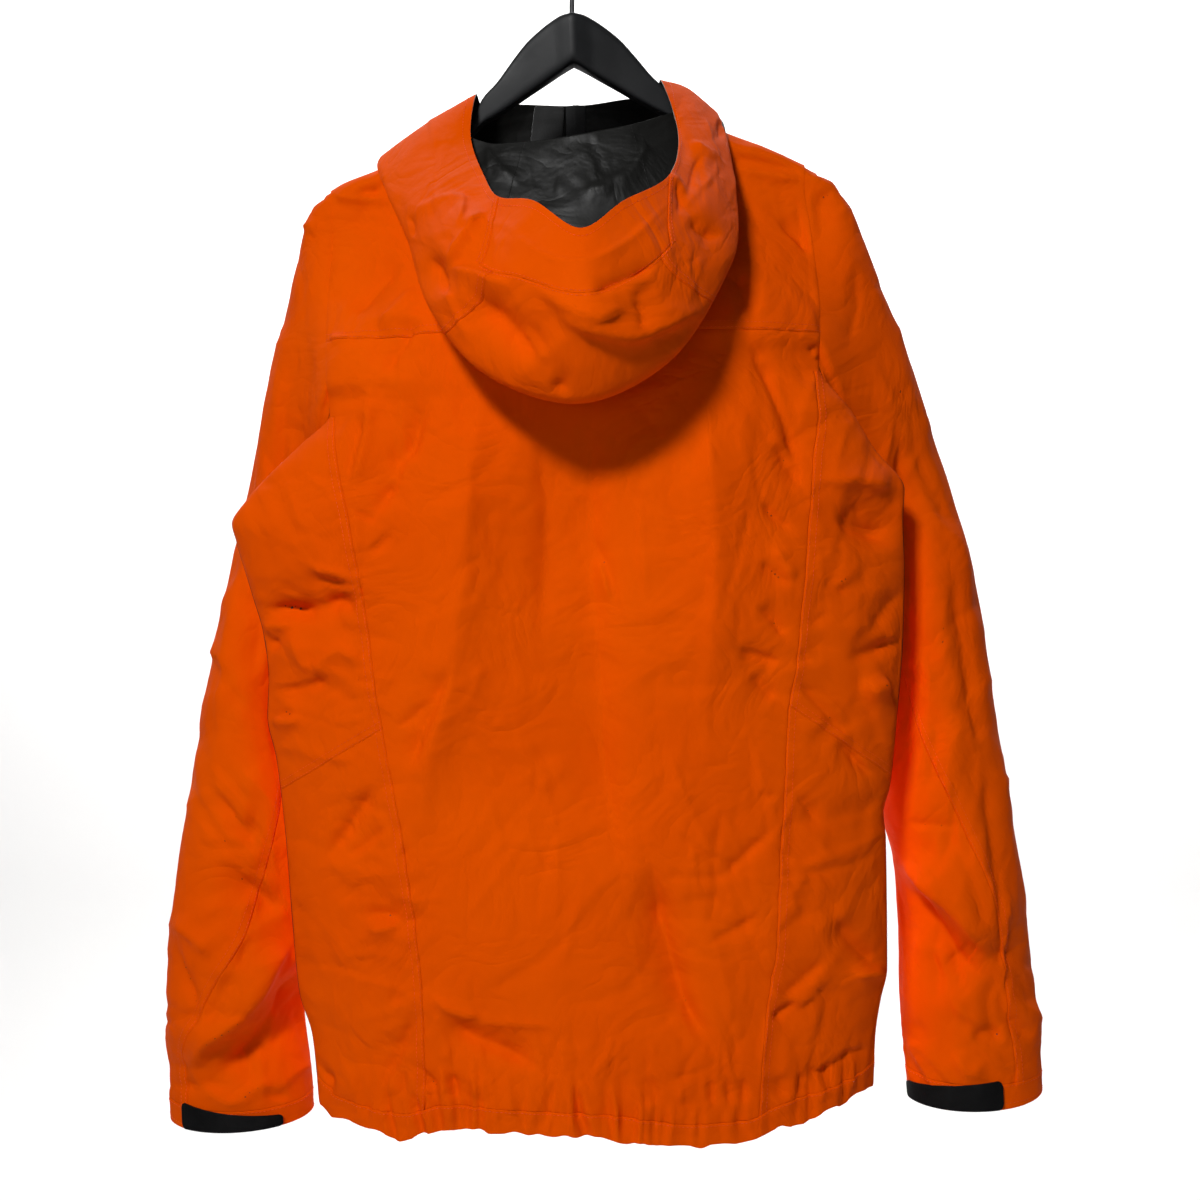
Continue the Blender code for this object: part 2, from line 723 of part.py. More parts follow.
def make_front(materials):
    """Both fronts with their hems, and the part of the zip that lies between them."""
    stops = [
        edge["left", "x"],
        lambda z: z * 0 + ZIP_X - ZIP_HALF,
        lambda z: z * 0 + ZIP_X + ZIP_HALF,
        edge["right", "x"],
    ]
    shares = np.concatenate([spaced(LEFT_TOP_COLUMNS)[:-1], [1, 1.5], 2 + spaced(RIGHT_TOP_COLUMNS)])

    def hem(share):
        return height_at(share, stops, hem_line["front"], -885.0)

    levels = [
        (lambda share: height_at(share, stops, top_line["front", "z"], -190.0), CHEST_ROWS, 1.8),
        (level(WING_START), FRONT_WING_ROWS, 1),
        (level(UNDERARM_LINE), FRONT_LOWER_ROWS, 1),
        (lambda share: hem(share) + HEM_HEIGHT, 1, 1),
        (hem, 0, 1),
    ]
    # Columns run from right to left, so that the outward normal points to +Y
    grid = frame_of(body_grid("front", stops, shares, levels)[:, ::-1])
    over_shoulders(grid, NECK_FROM, NECK_TO)
    rows, columns = grid[0].shape[:2]
    row, column = np.indices((rows - 1, columns - 1))
    at_zip = len(RIGHT_TOP_COLUMNS) - 1
    for side, chosen in (("right", column < at_zip), ("left", column >= at_zip + 2)):
        wall(f"front_{side}", grid, chosen & (row < FRONT_ROWS), materials["orange"])
        wall(f"hem_front_{side}", grid, chosen & (row >= FRONT_ROWS), materials["orange"])
    return [values[:, at_zip : at_zip + 3] for values in grid]


def make_hood(materials):
    """The hood, the collar below it, and the part of the zip that closes the collar."""
    points = np.array([[hood_point(station, loop) for station in HOOD_COLUMNS] for loop in HOOD_ROWS])
    points[:, 0, 0] = ZIP_X - ZIP_HALF
    points[:, -1, 0] = ZIP_X + ZIP_HALF
    grid = frame_of(points, wrap=True)
    row, column = np.indices((len(HOOD_ROWS) - 1, len(HOOD_COLUMNS)))
    start = np.array(HOOD_COLUMNS)[column]
    brim_rows = row < HOOD_ROWS.index(BRIM_EDGE)
    brim = brim_rows & (start >= 6.0) & (start < 10.0)
    crown = ~brim_rows & (start >= 6.35) & (start < 9.75)
    collar_left = start < 2.3
    collar_right = (start >= 12.8) & (start < 14.83)
    zip_gap = start >= 14.83
    sides = ~(brim | crown | collar_left | collar_right | zip_gap)
    orange = materials["orange"]
    wall("hood_brim", grid, brim, orange, wrap=True)
    wall("hood_crown", grid, crown, orange, wrap=True)
    wall("hood_side_left", grid, sides & (start < 8), orange, wrap=True)
    wall("hood_side_right", grid, sides & (start > 8), orange, wrap=True)
    wall("collar_left", grid, collar_left, orange, wrap=True)
    wall("collar_right", grid, collar_right, orange, wrap=True)
    middle = [np.array([hood_point(0, loop) for loop in HOOD_ROWS])]
    middle += [unit(values[:, -1] + values[:, 0]) for values in grid[1:]]
    on_collar = [np.stack([values[:, -1], half, values[:, 0]], axis=1) for values, half in zip(grid, middle)]
    return grid, on_collar


def make_zip(materials, on_collar, on_front):
    """The zip's two tapes and its teeth, as one strip from the collar's top to the hem."""
    strip = [np.concatenate(pair) for pair in zip(on_collar, on_front)]
    cells = np.ones((strip[0].shape[0] - 1, strip[0].shape[1] - 1), bool)
    wall("zip", strip, cells, materials["black"])


SLIDER = (8.0, 5.0, 11.0)  # width, depth and height
SLIDER_Y, SLIDER_Z = 88.5, -124.0  # its front face, and the height that the pull tab hangs from
BRIDGE = (2.0, 3.8, 8.0)  # the arch on the slider that holds the pull tab
BRIDGE_BAR = 1.2
PULL = (6.5, 1.4, 26.0)
PULL_EYE = (3.2, 5.4)  # width and height of the hole in the pull tab
PULL_BAR = 0.7  # from the hinge axis to the tab's top edge and to the eye


def box(name, low, high, material=None, round_by=0.0):
    """A box between two corners in millimetres. Without a material it is a cutter."""
    low, high = Vector(low) * MM, Vector(high) * MM
    bpy.ops.mesh.primitive_cube_add(size=1)
    piece = bpy.context.object
    piece.name = piece.data.name = name
    size = high - low
    for vertex in piece.data.vertices:
        vertex.co = Vector([vertex.co[i] * size[i] for i in range(3)]) + (low + high) / 2
    for collection in list(piece.users_collection):
        collection.objects.unlink(piece)
    if material is None:
        cutters.objects.link(piece)
        piece.hide_render = True
        piece.display_type = "WIRE"
    else:
        parts.objects.link(piece)
        piece.data.materials.append(material)
    if round_by:
        bevel = piece.modifiers.new("round", "BEVEL")
        bevel.width, bevel.segments = round_by * MM, 2
    return piece


def boolean(piece, operation, other):
    modifier = piece.modifiers.new(operation.lower(), "BOOLEAN")
    modifier.operation, modifier.object = operation, other


def make_slider(materials):
    width, deep, tall = SLIDER
    back, front = SLIDER_Y - deep, SLIDER_Y
    slider = box(
        "zip_slider",
        (ZIP_X - width / 2, back, SLIDER_Z - tall / 2),
        (ZIP_X + width / 2, front, SLIDER_Z + tall / 2),
        materials["metal"],
        round_by=0.8,
    )
    arch_width, arch_out, arch_tall = BRIDGE
    arch_low, arch_high = SLIDER_Z - arch_tall / 2, SLIDER_Z + arch_tall / 2
    arch = box(
        "bridge",
        (ZIP_X - arch_width / 2, front - 1, arch_low),
        (ZIP_X + arch_width / 2, front + arch_out, arch_high),
    )
    window = box(
        "bridge_window",
        (ZIP_X - arch_width, front + 0.1, arch_low + BRIDGE_BAR),
        (ZIP_X + arch_width, front + arch_out - BRIDGE_BAR, arch_high - BRIDGE_BAR),
    )
    boolean(slider, "UNION", arch)
    boolean(slider, "DIFFERENCE", window)


def make_pull(materials):
    """The pull tab hangs from the bridge by its eye. Its hinge axis is the eye's top bar."""
    width, thick, tall = PULL
    axis_y = SLIDER_Y + (BRIDGE[1] - BRIDGE_BAR) / 2 + 0.05
    top = SLIDER_Z + PULL_BAR
    pull = box(
        "zip_pull",
        (ZIP_X - width / 2, axis_y - thick / 2, top - tall),
        (ZIP_X + width / 2, axis_y + thick / 2, top),
        materials["metal"],
        round_by=0.4,
    )
    eye_width, eye_tall = PULL_EYE
    eye_top = SLIDER_Z - PULL_BAR
    eye = box(
        "pull_eye",
        (ZIP_X - eye_width / 2, axis_y - thick, eye_top - eye_tall),
        (ZIP_X + eye_width / 2, axis_y + thick, eye_top),
    )
    boolean(pull, "DIFFERENCE", eye)
    hinge = Vector((ZIP_X, axis_y, SLIDER_Z)) * MM
    for vertex in pull.data.vertices:
        vertex.co -= hinge
    pull.location = hinge


CHIN_GUARD =(0.04, 0.7)  # how much of the collar's first column it covers
CHIN_GUARD_ROWS = 6
CHIN_GUARD_GAP, CHIN_GUARD_THICK = 0.6, 1.0


def make_chin_guard(materials, hood_grid):
    """A small facing on the inside of the collar, beside the zip."""
    shares = np.array(CHIN_GUARD)[:, None]
    first, second = (0, 1)
    rows = [
        (part[:CHIN_GUARD_ROWS, first, None] * (1 - shares) + part[:CHIN_GUARD_ROWS, second, None] * shares)
        for part in hood_grid
    ]
    cells = np.ones((CHIN_GUARD_ROWS - 1, 1), bool)
    inside = -(CLOTH + CHIN_GUARD_GAP)
    wall("chin_guard", rows, cells, materials["charcoal"], thick=CHIN_GUARD_THICK, lift=inside, inset=SEAM)


OUTER_COLUMNS, UNDER_COLUMNS, SLEEVE_ROWS = 9, 7, 19
CUFF_TAB = {"left": (0.13, 0.47), "right": (0.21, 0.47)}  # shares of the turn that a tab covers
CUFF_TAB_ROWS = (0.02, 0.96)  # shares of the cuff's height
CUFF_TAB_GAP, CUFF_TAB_THICK = 0.9, 1.8


def make_sleeve(side, materials):
    points = sleeve_grid(side, OUTER_COLUMNS, UNDER_COLUMNS, SLEEVE_ROWS)
    rows, columns = points.shape[:2]
    row, column = np.indices((rows - 1, columns))
    outer = (column < OUTER_COLUMNS) & (row < SLEEVE_ROWS)
    under = (column >= OUTER_COLUMNS) & (row < SLEEVE_ROWS)
    cuff = row >= SLEEVE_ROWS
    if side == "right":
        points = points[:, ::-1]
        outer, under, cuff = (np.roll(cells[:, ::-1], -1, axis=1) for cells in (outer, under, cuff))
    grid = frame_of(points, wrap=True)
    wall(f"sleeve_outer_{side}", grid, outer, materials["orange"], wrap=True)
    wall(f"sleeve_under_{side}", grid, under, materials["orange"], wrap=True)
    wall(f"cuff_{side}", grid, cuff, materials["orange"], wrap=True)


def make_cuff_tab(side, materials):
    """The hook-and-loop tab that lies round the back of a cuff."""
    first, last = CUFF_TAB[side]
    start = cuff_section(side)
    sections = start + (LAST_SECTION - start) * np.array(CUFF_TAB_ROWS)
    turns = between(first, last, 9)
    if side == "right":
        turns = turns[::-1]
    turn, section = np.meshgrid(turns, between(sections[0], sections[1], 1))
    cells = np.ones((1, len(turns) - 1), bool)
    grid = frame_of(sleeve_point(side, turn, section))
    lift = CUFF_TAB_GAP + CUFF_TAB_THICK
    wall(f"cuff_tab_{side}", grid, cells, materials["black"], thick=CUFF_TAB_THICK, lift=lift)


# ---- Hanger ---------------------------------------------------------------------------------------

# Half of the hanger, from its middle out to the end of an arm
HANGER = table(
    "x top low half",
    [
        (0, -62, -101, 11),
        (8, -63.5, -105.5, 11),
        (16, -67.5, -110.5, 10.5),
        (26, -74.5, -116.5, 10),
        (36, -83, -122.5, 9.5),
        (48, -97, -130, 9),
        (60, -112, -137, 8.5),
        (71, -123, -142.5, 8),
        (81, -142, -152, 6.5),
        (92, -154.5, -165, 6.5),
        (114, -164.5, -176, 7),
        (146, -175, -188, 7),
        (165, -184, -197, 7),
        (171, -188, -195, 5),
    ],
)
HANGER_TILT = math.radians(2.2)  # its right arm hangs higher
HANGER_SWEEP = math.radians(4.5)  # each arm points forward
HANGER_TOP = -62.0
SECTION_POINTS = 10
SECTION_SQUARENESS = 0.45
WIRE = 2.1  # radius of the hook's wire
WIRE_SEAT = 20.0  # how deep the hook's shank goes into the hanger
CROOK = 20.0  # radius of the hook's bend, at the middle of the wire
CROOK_FROM, CROOK_TO = math.radians(-60), math.radians(205)


def hanger_section(x, top, low, half):
    """A rounded section across the hanger at x."""
    angle = 2 * math.pi * np.arange(SECTION_POINTS) / SECTION_POINTS
    wave = np.stack([np.cos(angle), np.sin(angle)])
    wave = np.sign(wave) * np.abs(wave) ** SECTION_SQUARENESS
    y = abs(x) * math.tan(HANGER_SWEEP) + half * wave[0]
    z = (top + low) / 2 + (top - low) / 2 * wave[1]
    turn = math.sin(HANGER_TILT)
    return np.stack([x - (z - HANGER_TOP) * turn, y, z + x * turn], axis=-1)


def make_hanger(materials):
    half = list(zip(HANGER["x"], HANGER["top"], HANGER["low"], HANGER["half"]))
    rows = [(-x, top, low, width) for x, top, low, width in reversed(half[1:])] + half
    rings = np.array([hanger_section(*row) for row in rows])
    count = len(rings)
    faces = [list(range(SECTION_POINTS))]
    faces += [[(count - 1) * SECTION_POINTS + k for k in reversed(range(SECTION_POINTS))]]
    for i in range(count - 1):
        for k in range(SECTION_POINTS):
            after = (k + 1) % SECTION_POINTS
            first, second = i * SECTION_POINTS, (i + 1) * SECTION_POINTS
            faces.append([first + after, first + k, second + k, second + after])
    hanger = add_mesh("hanger", rings.reshape(-1, 3) * MM, faces, materials["black"])
    bpy.ops.mesh.primitive_cylinder_add(
        vertices=16,
        radius=(WIRE + SEAM) * MM,
        depth=2 * WIRE_SEAT * MM,
        location=(0, 0, HANGER_TOP * MM),
    )
    bore = bpy.context.object
    bore.name = "hook_bore"
    bore.hide_render = True
    bore.display_type = "WIRE"
    for collection in list(bore.users_collection):
        collection.objects.unlink(bore)
    cutters.objects.link(bore)
    boolean(hanger, "DIFFERENCE", bore)


def make_hook(materials):
    """A wire hook. The inside of its bend rests on the rail at the origin."""
    centre = WIRE - CROOK
    bend = [(CROOK * math.cos(a), centre + CROOK * math.sin(a)) for a in between(CROOK_FROM, CROOK_TO, 18)]
    shank_end = HANGER_TOP - WIRE_SEAT + SEAM
    shank = [(0, shank_end), (0, -62), (0, -52), (0.6, -46), (3.2, -40.5)]
    data = bpy.data.curves.new("hanger_hook", "CURVE")
    data.dimensions = "3D"
    data.bevel_depth, data.bevel_resolution, data.use_fill_caps = WIRE * MM, 2, True
    path = data.splines.new("POLY")
    path.points.add(len(shank + bend) - 1)
    for point, (x, z) in zip(path.points, shank + bend):
        point.co = (x * MM, 0, z * MM, 1)
    add_object("hanger_hook", data, materials["chrome"])


def new_collection(name):
    collection = bpy.data.collections.new(name)
    bpy.context.scene.collection.children.link(collection)
    return collection


for old in list(bpy.data.objects):
    bpy.data.objects.remove(old)
parts = new_collection("shell_jacket")
cutters = new_collection("cutters")
finishes = {
    "orange": make_material("orange_shell", ORANGE, 0.6),
    "black": make_material("black_trim", BLACK, 0.5),
    "charcoal": make_material("charcoal_facing", CHARCOAL, 0.7),
    "metal": make_material("dark_metal", CHARCOAL, 0.35, metallic=1.0),
    "chrome": make_material("chrome_wire", CHROME, 0.12, metallic=1.0),
}
make_back(finishes)
zip_on_front = make_front(finishes)
hood_frame, zip_on_collar = make_hood(finishes)
make_zip(finishes, zip_on_collar, zip_on_front)
make_slider(finishes)
make_pull(finishes)
make_chin_guard(finishes, hood_frame)
for wearer_side in ("left", "right"):
    make_sleeve(wearer_side, finishes)
    make_cuff_tab(wearer_side, finishes)
make_hanger(finishes)
make_hook(finishes)
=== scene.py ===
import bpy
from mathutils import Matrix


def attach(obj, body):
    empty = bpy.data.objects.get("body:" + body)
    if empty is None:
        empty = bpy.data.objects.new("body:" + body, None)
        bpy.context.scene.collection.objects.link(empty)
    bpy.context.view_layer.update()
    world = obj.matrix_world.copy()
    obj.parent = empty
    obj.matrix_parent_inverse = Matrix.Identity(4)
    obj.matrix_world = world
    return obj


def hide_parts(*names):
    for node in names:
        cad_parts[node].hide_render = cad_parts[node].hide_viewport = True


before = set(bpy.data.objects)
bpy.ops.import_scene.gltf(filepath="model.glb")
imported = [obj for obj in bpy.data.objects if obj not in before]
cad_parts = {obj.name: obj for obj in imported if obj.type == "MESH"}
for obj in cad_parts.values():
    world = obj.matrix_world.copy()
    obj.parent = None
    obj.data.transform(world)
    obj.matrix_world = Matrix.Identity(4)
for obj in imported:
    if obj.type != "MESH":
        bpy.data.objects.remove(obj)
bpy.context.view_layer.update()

import math

import bpy
import numpy as np
from mathutils import Vector

mm = 0.001
print("frame loaded:", len(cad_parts), "nodes")

# The camera looks straight at the jacket's back. Sizes here and below are in millimetres
view = {"x": 21.6, "z": -512.5, "distance": 1650.0, "mmPerPixel": 0.77, "pixels": 1200, "sensor": 36}
camera = bpy.data.objects.new("camera", bpy.data.cameras.new("camera"))
bpy.context.scene.collection.objects.link(camera)
camera.location = (view["x"] * mm, -view["distance"] * mm, view["z"] * mm)
camera.rotation_euler = (math.pi / 2, 0, 0)
camera.data.sensor_width = view["sensor"]
camera.data.lens = view["sensor"] * view["distance"] / (view["mmPerPixel"] * view["pixels"])
bpy.context.scene.camera = camera
bpy.context.scene.view_settings.view_transform = "Standard"


def onPicture(points):  # where points fall on the photo, in its pixels
    away = view["mmPerPixel"] * (1 + points[..., 1] / view["distance"])
    middle = view["pixels"] / 2
    return middle + (points[..., 0] - view["x"]) / away, middle - (points[..., 2] - view["z"]) / away


def table(columns, rows):
    return dict(zip(columns.split(), np.array(rows, float).T))


def ease(t):
    t = np.clip(t, 0, 1)
    return t * t * (3 - 2 * t)


def unit(vectors):
    return vectors / np.maximum(np.linalg.norm(vectors, axis=-1, keepdims=True), 1e-9)


def smoothThrough(x, y):  # a curve through points that never overshoots them
    order = np.argsort(x)
    x, y = np.asarray(x, float)[order], np.asarray(y, float)[order]
    slope = np.diff(y) / np.diff(x)
    tangent = np.concatenate([slope[:1], np.zeros(len(x) - 2), slope[-1:]])
    before, after = slope[:-1], slope[1:]
    agree = before * after > 0
    tangent[1:-1][agree] = 2 * before[agree] * after[agree] / (before[agree] + after[agree])

    def value(at):
        at = np.clip(at, x[0], x[-1])
        i = np.clip(np.searchsorted(x, at, side="right") - 1, 0, len(x) - 2)
        width = x[i + 1] - x[i]
        t = (at - x[i]) / width
        rest = 1 - t
        return (
            (1 + 2 * t) * rest**2 * y[i]
            + t * rest**2 * width * tangent[i]
            + t**2 * (3 - 2 * t) * y[i + 1]
            - t**2 * rest * width * tangent[i + 1]
        )

    return value


def columnCurve(rows, along, column):
    return smoothThrough(rows[along], rows[column])


def spline(before, start, end, after, t):
    return 0.5 * (
        2 * start
        + (end - before) * t
        + (2 * before - 5 * start + 4 * end - after) * t**2
        + (3 * start - before - 3 * end + after) * t**3
    )


def nearest(places, value):
    return int(np.argmin(np.abs(places - value)))


latticeSize = 64


def softNoise(u, v, seed):  # smooth random waves about one unit long, between -1 and 1
    lattice = np.random.default_rng(seed).uniform(-1, 1, (latticeSize, latticeSize))
    i, j = np.floor(u).astype(int), np.floor(v).astype(int)
    s, t = ease(u - i), ease(v - j)
    i, j, nextI, nextJ = (place % latticeSize for place in (i, j, i + 1, j + 1))
    near = lattice[i, j] * (1 - s) + lattice[nextI, j] * s
    far = lattice[i, nextJ] * (1 - s) + lattice[nextI, nextJ] * s
    return near * (1 - t) + far * t


def steps(length, step):  # shares of a length, closer together at both ends, where the seams are
    close = np.array([0, 0.7, 1.6, 3.0, 5.0, 7.2])
    close = close[close < length * 0.3]
    count = max(1, round((length - 2 * close[-1]) / step))
    middle = np.linspace(close[-1], length - close[-1], count + 1)
    return np.concatenate([close[:-1], middle, length - close[-2::-1]]) / length


def spread(lengths, step):  # one run of shares through several panels, a whole number at each seam
    runs = [k + steps(length, step)[:-1] for k, length in enumerate(lengths)]
    return np.concatenate(runs + [[len(lengths)]])


# Side edges of the body from the shoulder point down: the armhole, the ridge out to the underarm
# point, then the side fold down to the hem
leftEdge = table("z x backY frontY", [
    (-195, -187, 8, 12), (-209, -185, -5, 20), (-239, -184, -22, 28), (-279, -186, -34, 33),
    (-320, -185, -42, 22), (-345, -184, -45, 3), (-360, -183, -47, -20), (-373, -181, -48, -41),
    (-396, -203, -45, -40.5), (-419, -228, -40, -36), (-438, -246, -34, -30.5), (-455, -257, -30, -27),
    (-467, -254, -30, -27), (-510, -241, -30, -27), (-538, -233, -30, -27), (-572, -229, -30, -27),
    (-600, -230, -30, -27), (-633, -223, -30, -27), (-693, -216, -30, -27), (-757, -211, -30, -27),
    (-808, -206, -30, -27), (-842, -196, -30, -27), (-890, -191, -30, -27),
])
rightEdge = table("z x backY frontY", [
    (-175, 180, 8, 12), (-193, 179, -5, 20), (-224, 183, -22, 28), (-256, 186, -34, 31),
    (-290, 188, -40, 21), (-312, 187, -43, 2), (-327, 187, -45, -20), (-338, 186, -46, -39),
    (-352, 194, -46, -41.5), (-367, 208, -43, -39), (-398, 228, -37, -33), (-429, 252, -30, -27),
    (-450, 251, -30, -27), (-490, 252, -30, -27), (-538, 251, -30, -27), (-605, 246, -30, -27),
    (-653, 241, -30, -27), (-673, 236, -30, -27), (-693, 238, -30, -27), (-791, 239, -30, -27),
    (-815, 234, -30, -27), (-842, 230, -30, -27), (-890, 228, -30, -27),
])
# Seams between the back panel and the side panels
leftPrincess = table("z x", [
    (-195, -182), (-239, -179), (-279, -181), (-320, -180), (-373, -177), (-417, -171), (-451, -163),
    (-504, -153), (-603, -138), (-682, -124), (-754, -113), (-800, -108), (-900, -105),
])
rightPrincess = table("z x", [
    (-175, 175), (-193, 174), (-224, 178), (-256, 181), (-309, 183), (-338, 182), (-379, 184),
    (-408, 179), (-437, 176), (-504, 170), (-564, 165), (-597, 160), (-653, 157), (-719, 153),
    (-767, 151), (-809, 144), (-846, 140), (-900, 137),
])
# The line over each shoulder, and the neck seam between the shoulders at the back and the front. The last
# number is how far the cloth stands out below that line, where it has rounded over
shoulder = [
    (-187, -195, 14, 12),
    (-176, -189, 13, 12),
    (-148, -178, 11, 12),
    (-113, -158, 9, 12),
    (-93, -144, 7, 12),
    (91, -137, 7, 12),
    (115, -149, 9, 12),
    (145, -160, 11, 12),
    (180, -175, 14, 12),
]
backNeck = [(-84, -158, -16, 4), (-62, -170, -28, 2), (-42, -172, -38, 1), (-20, -171, -44, 1)]
backNeck += [(4, -168, -48, 1), (29, -163, -46, 1), (49, -157, -38, 2), (83, -143, -16, 4)]
frontNeck = [(-86, -162, 34, 4), (-46, -200, 58, 2), (2, -206, 70, 1), (42, -197, 58, 2), (84, -158, 36, 4)]
backTop = table("x z y round", shoulder + backNeck)
frontTop = table("x z y round", shoulder + frontNeck)
# How far the middle of the back and of the front stand out at each height
depth = table("z back front", [
    (-150, -50, 62), (-230, -66, 78), (-310, -82, 86), (-400, -92, 84), (-520, -96, 78), (-640, -94, 72),
    (-760, -96, 70), (-900, -100, 70),
])
# The lower edge of the hem, which is lowest at the middle of the back
backHem = table("x z", [
    (-191, -887), (-175, -899), (-124, -906), (-87, -897), (-25, -900), (20, -902), (54, -906),
    (86, -910), (126, -909), (153, -899), (187, -891), (212, -884), (228, -876),
])
frontHem = table("x z", [(-191, -887), (-120, -890), (0, -888), (120, -885), (228, -876)])

edge = {
    (side, column): columnCurve(rows, "z", column)
    for side, rows in (("left", leftEdge), ("right", rightEdge))
    for column in ("x", "backY", "frontY")
}
princess = {
    "left": columnCurve(leftPrincess, "z", "x"),
    "right": columnCurve(rightPrincess, "z", "x"),
}
topLine = {
    (sheet, column): columnCurve(rows, "x", column)
    for sheet, rows in (("back", backTop), ("front", frontTop))
    for column in ("z", "y", "round")
}
depth = {sheet: columnCurve(depth, "z", sheet) for sheet in ("back", "front")}
hemLine = {
    "back": columnCurve(backHem, "x", "z"),
    "front": columnCurve(frontHem, "x", "z"),
}

# Each row is one section across a sleeve: its outer and inner points seen from the back, the middle of
# its depth, half its depth, and how far its near side hangs lower than its far side
leftSleeve = table("outX outZ inX inZ midY half dip", [
    (-187, -196, -182, -456, 10, 40, 0), (-203, -210, -189, -474, 28, 42, 0),
    (-212, -232, -193, -492, 33, 43, 0), (-222, -271, -195, -514, 36, 43, 0),
    (-232, -310, -197, -545, 37, 44, 0), (-246, -375, -199, -583, 36, 45, 0),
    (-259, -434, -200, -623, 38, 47, 0), (-275, -512, -199, -662, 41, 48, 0),
    (-291, -591, -196, -702, 42, 49, 2), (-303, -670, -199, -741, 40, 47, 4),
    (-311, -733, -205, -784, 37, 44, 6), (-316, -811, -211, -827, 34, 40, 8),
    (-316, -866, -207, -870, 32, 36, 9), (-315, -915, -203, -909, 30, 33, 10),
])
rightSleeve = table("outX outZ inX inZ midY half dip", [
    (180, -176, 186, -430, 10, 40, 0), (212, -201, 196, -446, 20, 40, 0),
    (226, -231, 204, -462, 25, 40, 0), (244, -276, 211, -485, 29, 40, 0),
    (262, -319, 218, -513, 32, 42, 0), (280, -372, 226, -552, 36, 45, 0),
    (297, -424, 231, -591, 38, 47, 0), (317, -493, 236, -639, 41, 48, 0),
    (332, -583, 242, -678, 42, 49, 2), (344, -670, 253, -718, 40, 47, 4),
    (354, -741, 257, -767, 37, 44, 6), (362, -811, 256, -815, 34, 40, 8),
    (367, -866, 260, -862, 32, 36, 9), (368, -894, 263, -898, 30, 33, 10),
])
# Where a sleeve's back and front seams lie in its sections, as a share of the turn from the outer point
sleeveSeam = table("section left right front", [
    (0, 0.46, 0.46, 0.80), (2, 0.46, 0.45, 0.74), (4, 0.44, 0.42, 0.68), (6, 0.38, 0.355, 0.62),
    (7, 0.345, 0.324, 0.62), (8, 0.32, 0.282, 0.62), (9, 0.30, 0.234, 0.62), (10, 0.275, 0.186, 0.62),
    (11, 0.20, 0.167, 0.62), (12, 0.135, 0.16, 0.62), (13, 0.14, 0.16, 0.62),
])
# Where the ridge of each wing starts. Above it an armhole follows the body's back edge, below it the
# sleeve lies behind the wing, on the front
wingCorner = {"left": -373.0, "right": -339.0}
# The loop that each sleeve starts from: down the back to the underarm and up the front
leftArmhole = table("turn x z", [
    (0.00, -187.8, -196), (0.10, -185, -222), (0.20, -187, -278), (0.30, -186, -336), (0.36, -183, -366),
    (0.41, -193, -400), (0.46, -192, -436), (0.50, -182, -456), (0.54, -171, -448), (0.60, -162, -416),
    (0.68, -160, -370), (0.76, -170, -320), (0.84, -184, -270), (0.92, -186, -222), (1.00, -187.8, -196),
])
rightArmhole = table("turn x z", [
    (0.00, 180.8, -176), (0.10, 180, -203), (0.20, 186, -254), (0.30, 188, -308), (0.36, 187, -333),
    (0.41, 197, -368), (0.46, 197, -408), (0.50, 186, -430), (0.54, 174, -422), (0.60, 164, -390),
    (0.68, 161, -344), (0.76, 171, -296), (0.84, 184, -248), (0.92, 180.5, -202), (1.00, 180.8, -176),
])

# Rows go round the neck from the zip over the wearer's left shoulder, the back and the right shoulder.
# Each gives x, z and y on five loops: the face opening, the bulge below it, the outline of the hood
# where it lies on the back, the layer tucked under that, and the neck seam.
hood = table("openX openZ openY bulgeX bulgeZ bulgeY lineX lineZ lineY underX underZ underY neckX neckZ neckY", [
    (2, -114, 78, 2, -132, 82, 2, -156, 82, 2, -181, 77, 2, -203, 70),
    (-49, -116, 64, -55, -138, 72, -59, -161, 74, -51, -182, 68, -46, -198, 58),
    (-70, -124, 40, -93, -145, 44, -113, -167, 48, -97, -165, 42, -87, -158, 34),
    (-74, -124, -3, -112, -146, 4, -149, -172, 8, -113, -153, 3, -93, -140, 7),
    (-76, -163, -32, -108, -186, -42, -139, -206, -32, -111, -188, -28, -86, -155, -16),
    (-63, -202, -78, -91, -240, -102, -121, -246, -66, -98, -222, -52, -63, -167, -28),
    (-51, -223, -112, -64, -280, -142, -101, -303, -106, -74, -259, -80, -42, -169, -38),
    (-25, -231, -140, -35, -294, -166, -60, -353, -135, -36, -288, -101, -20, -168, -44),
    (8, -255, -168, 8, -308, -186, 7, -375, -148, 6, -296, -107, 4, -165, -48),
    (38, -232, -145, 44, -295, -172, 70, -345, -138, 47, -285, -101, 29, -160, -46),
    (71, -207, -108, 73, -266, -142, 110, -284, -106, 80, -249, -82, 50, -154, -38),
    (80, -164, -50, 100, -217, -90, 124, -233, -66, 94, -207, -56, 81, -140, -16),
    (69, -113, -1, 93, -122, 4, 115, -141, 6, 100, -133, 3, 92, -133, 7),
    (64, -114, 38, 80, -128, 42, 93, -149, 46, 87, -156, 42, 84, -153, 34),
    (38, -112, 66, 42, -130, 74, 50, -154, 78, 44, -177, 68, 42, -194, 58),
])
hoodLoops = ("open", "bulge", "line", "under", "neck")
hoodCage = np.stack([np.stack([hood[loop + axis] for axis in "XYZ"], axis=-1) for loop in hoodLoops])


wingJoin = {"above": 24, "over": 22}


def edgeDepth(side, sheet, z):  # from the armhole's corner down, the back and the front meet at the side
    own, other = (edge[side, name](z) for name in (sheet + "Y", "frontY" if sheet == "back" else "backY"))
    return own + (other - own) / 2 * ease((wingCorner[side] + wingJoin["above"] - z) / wingJoin["over"])


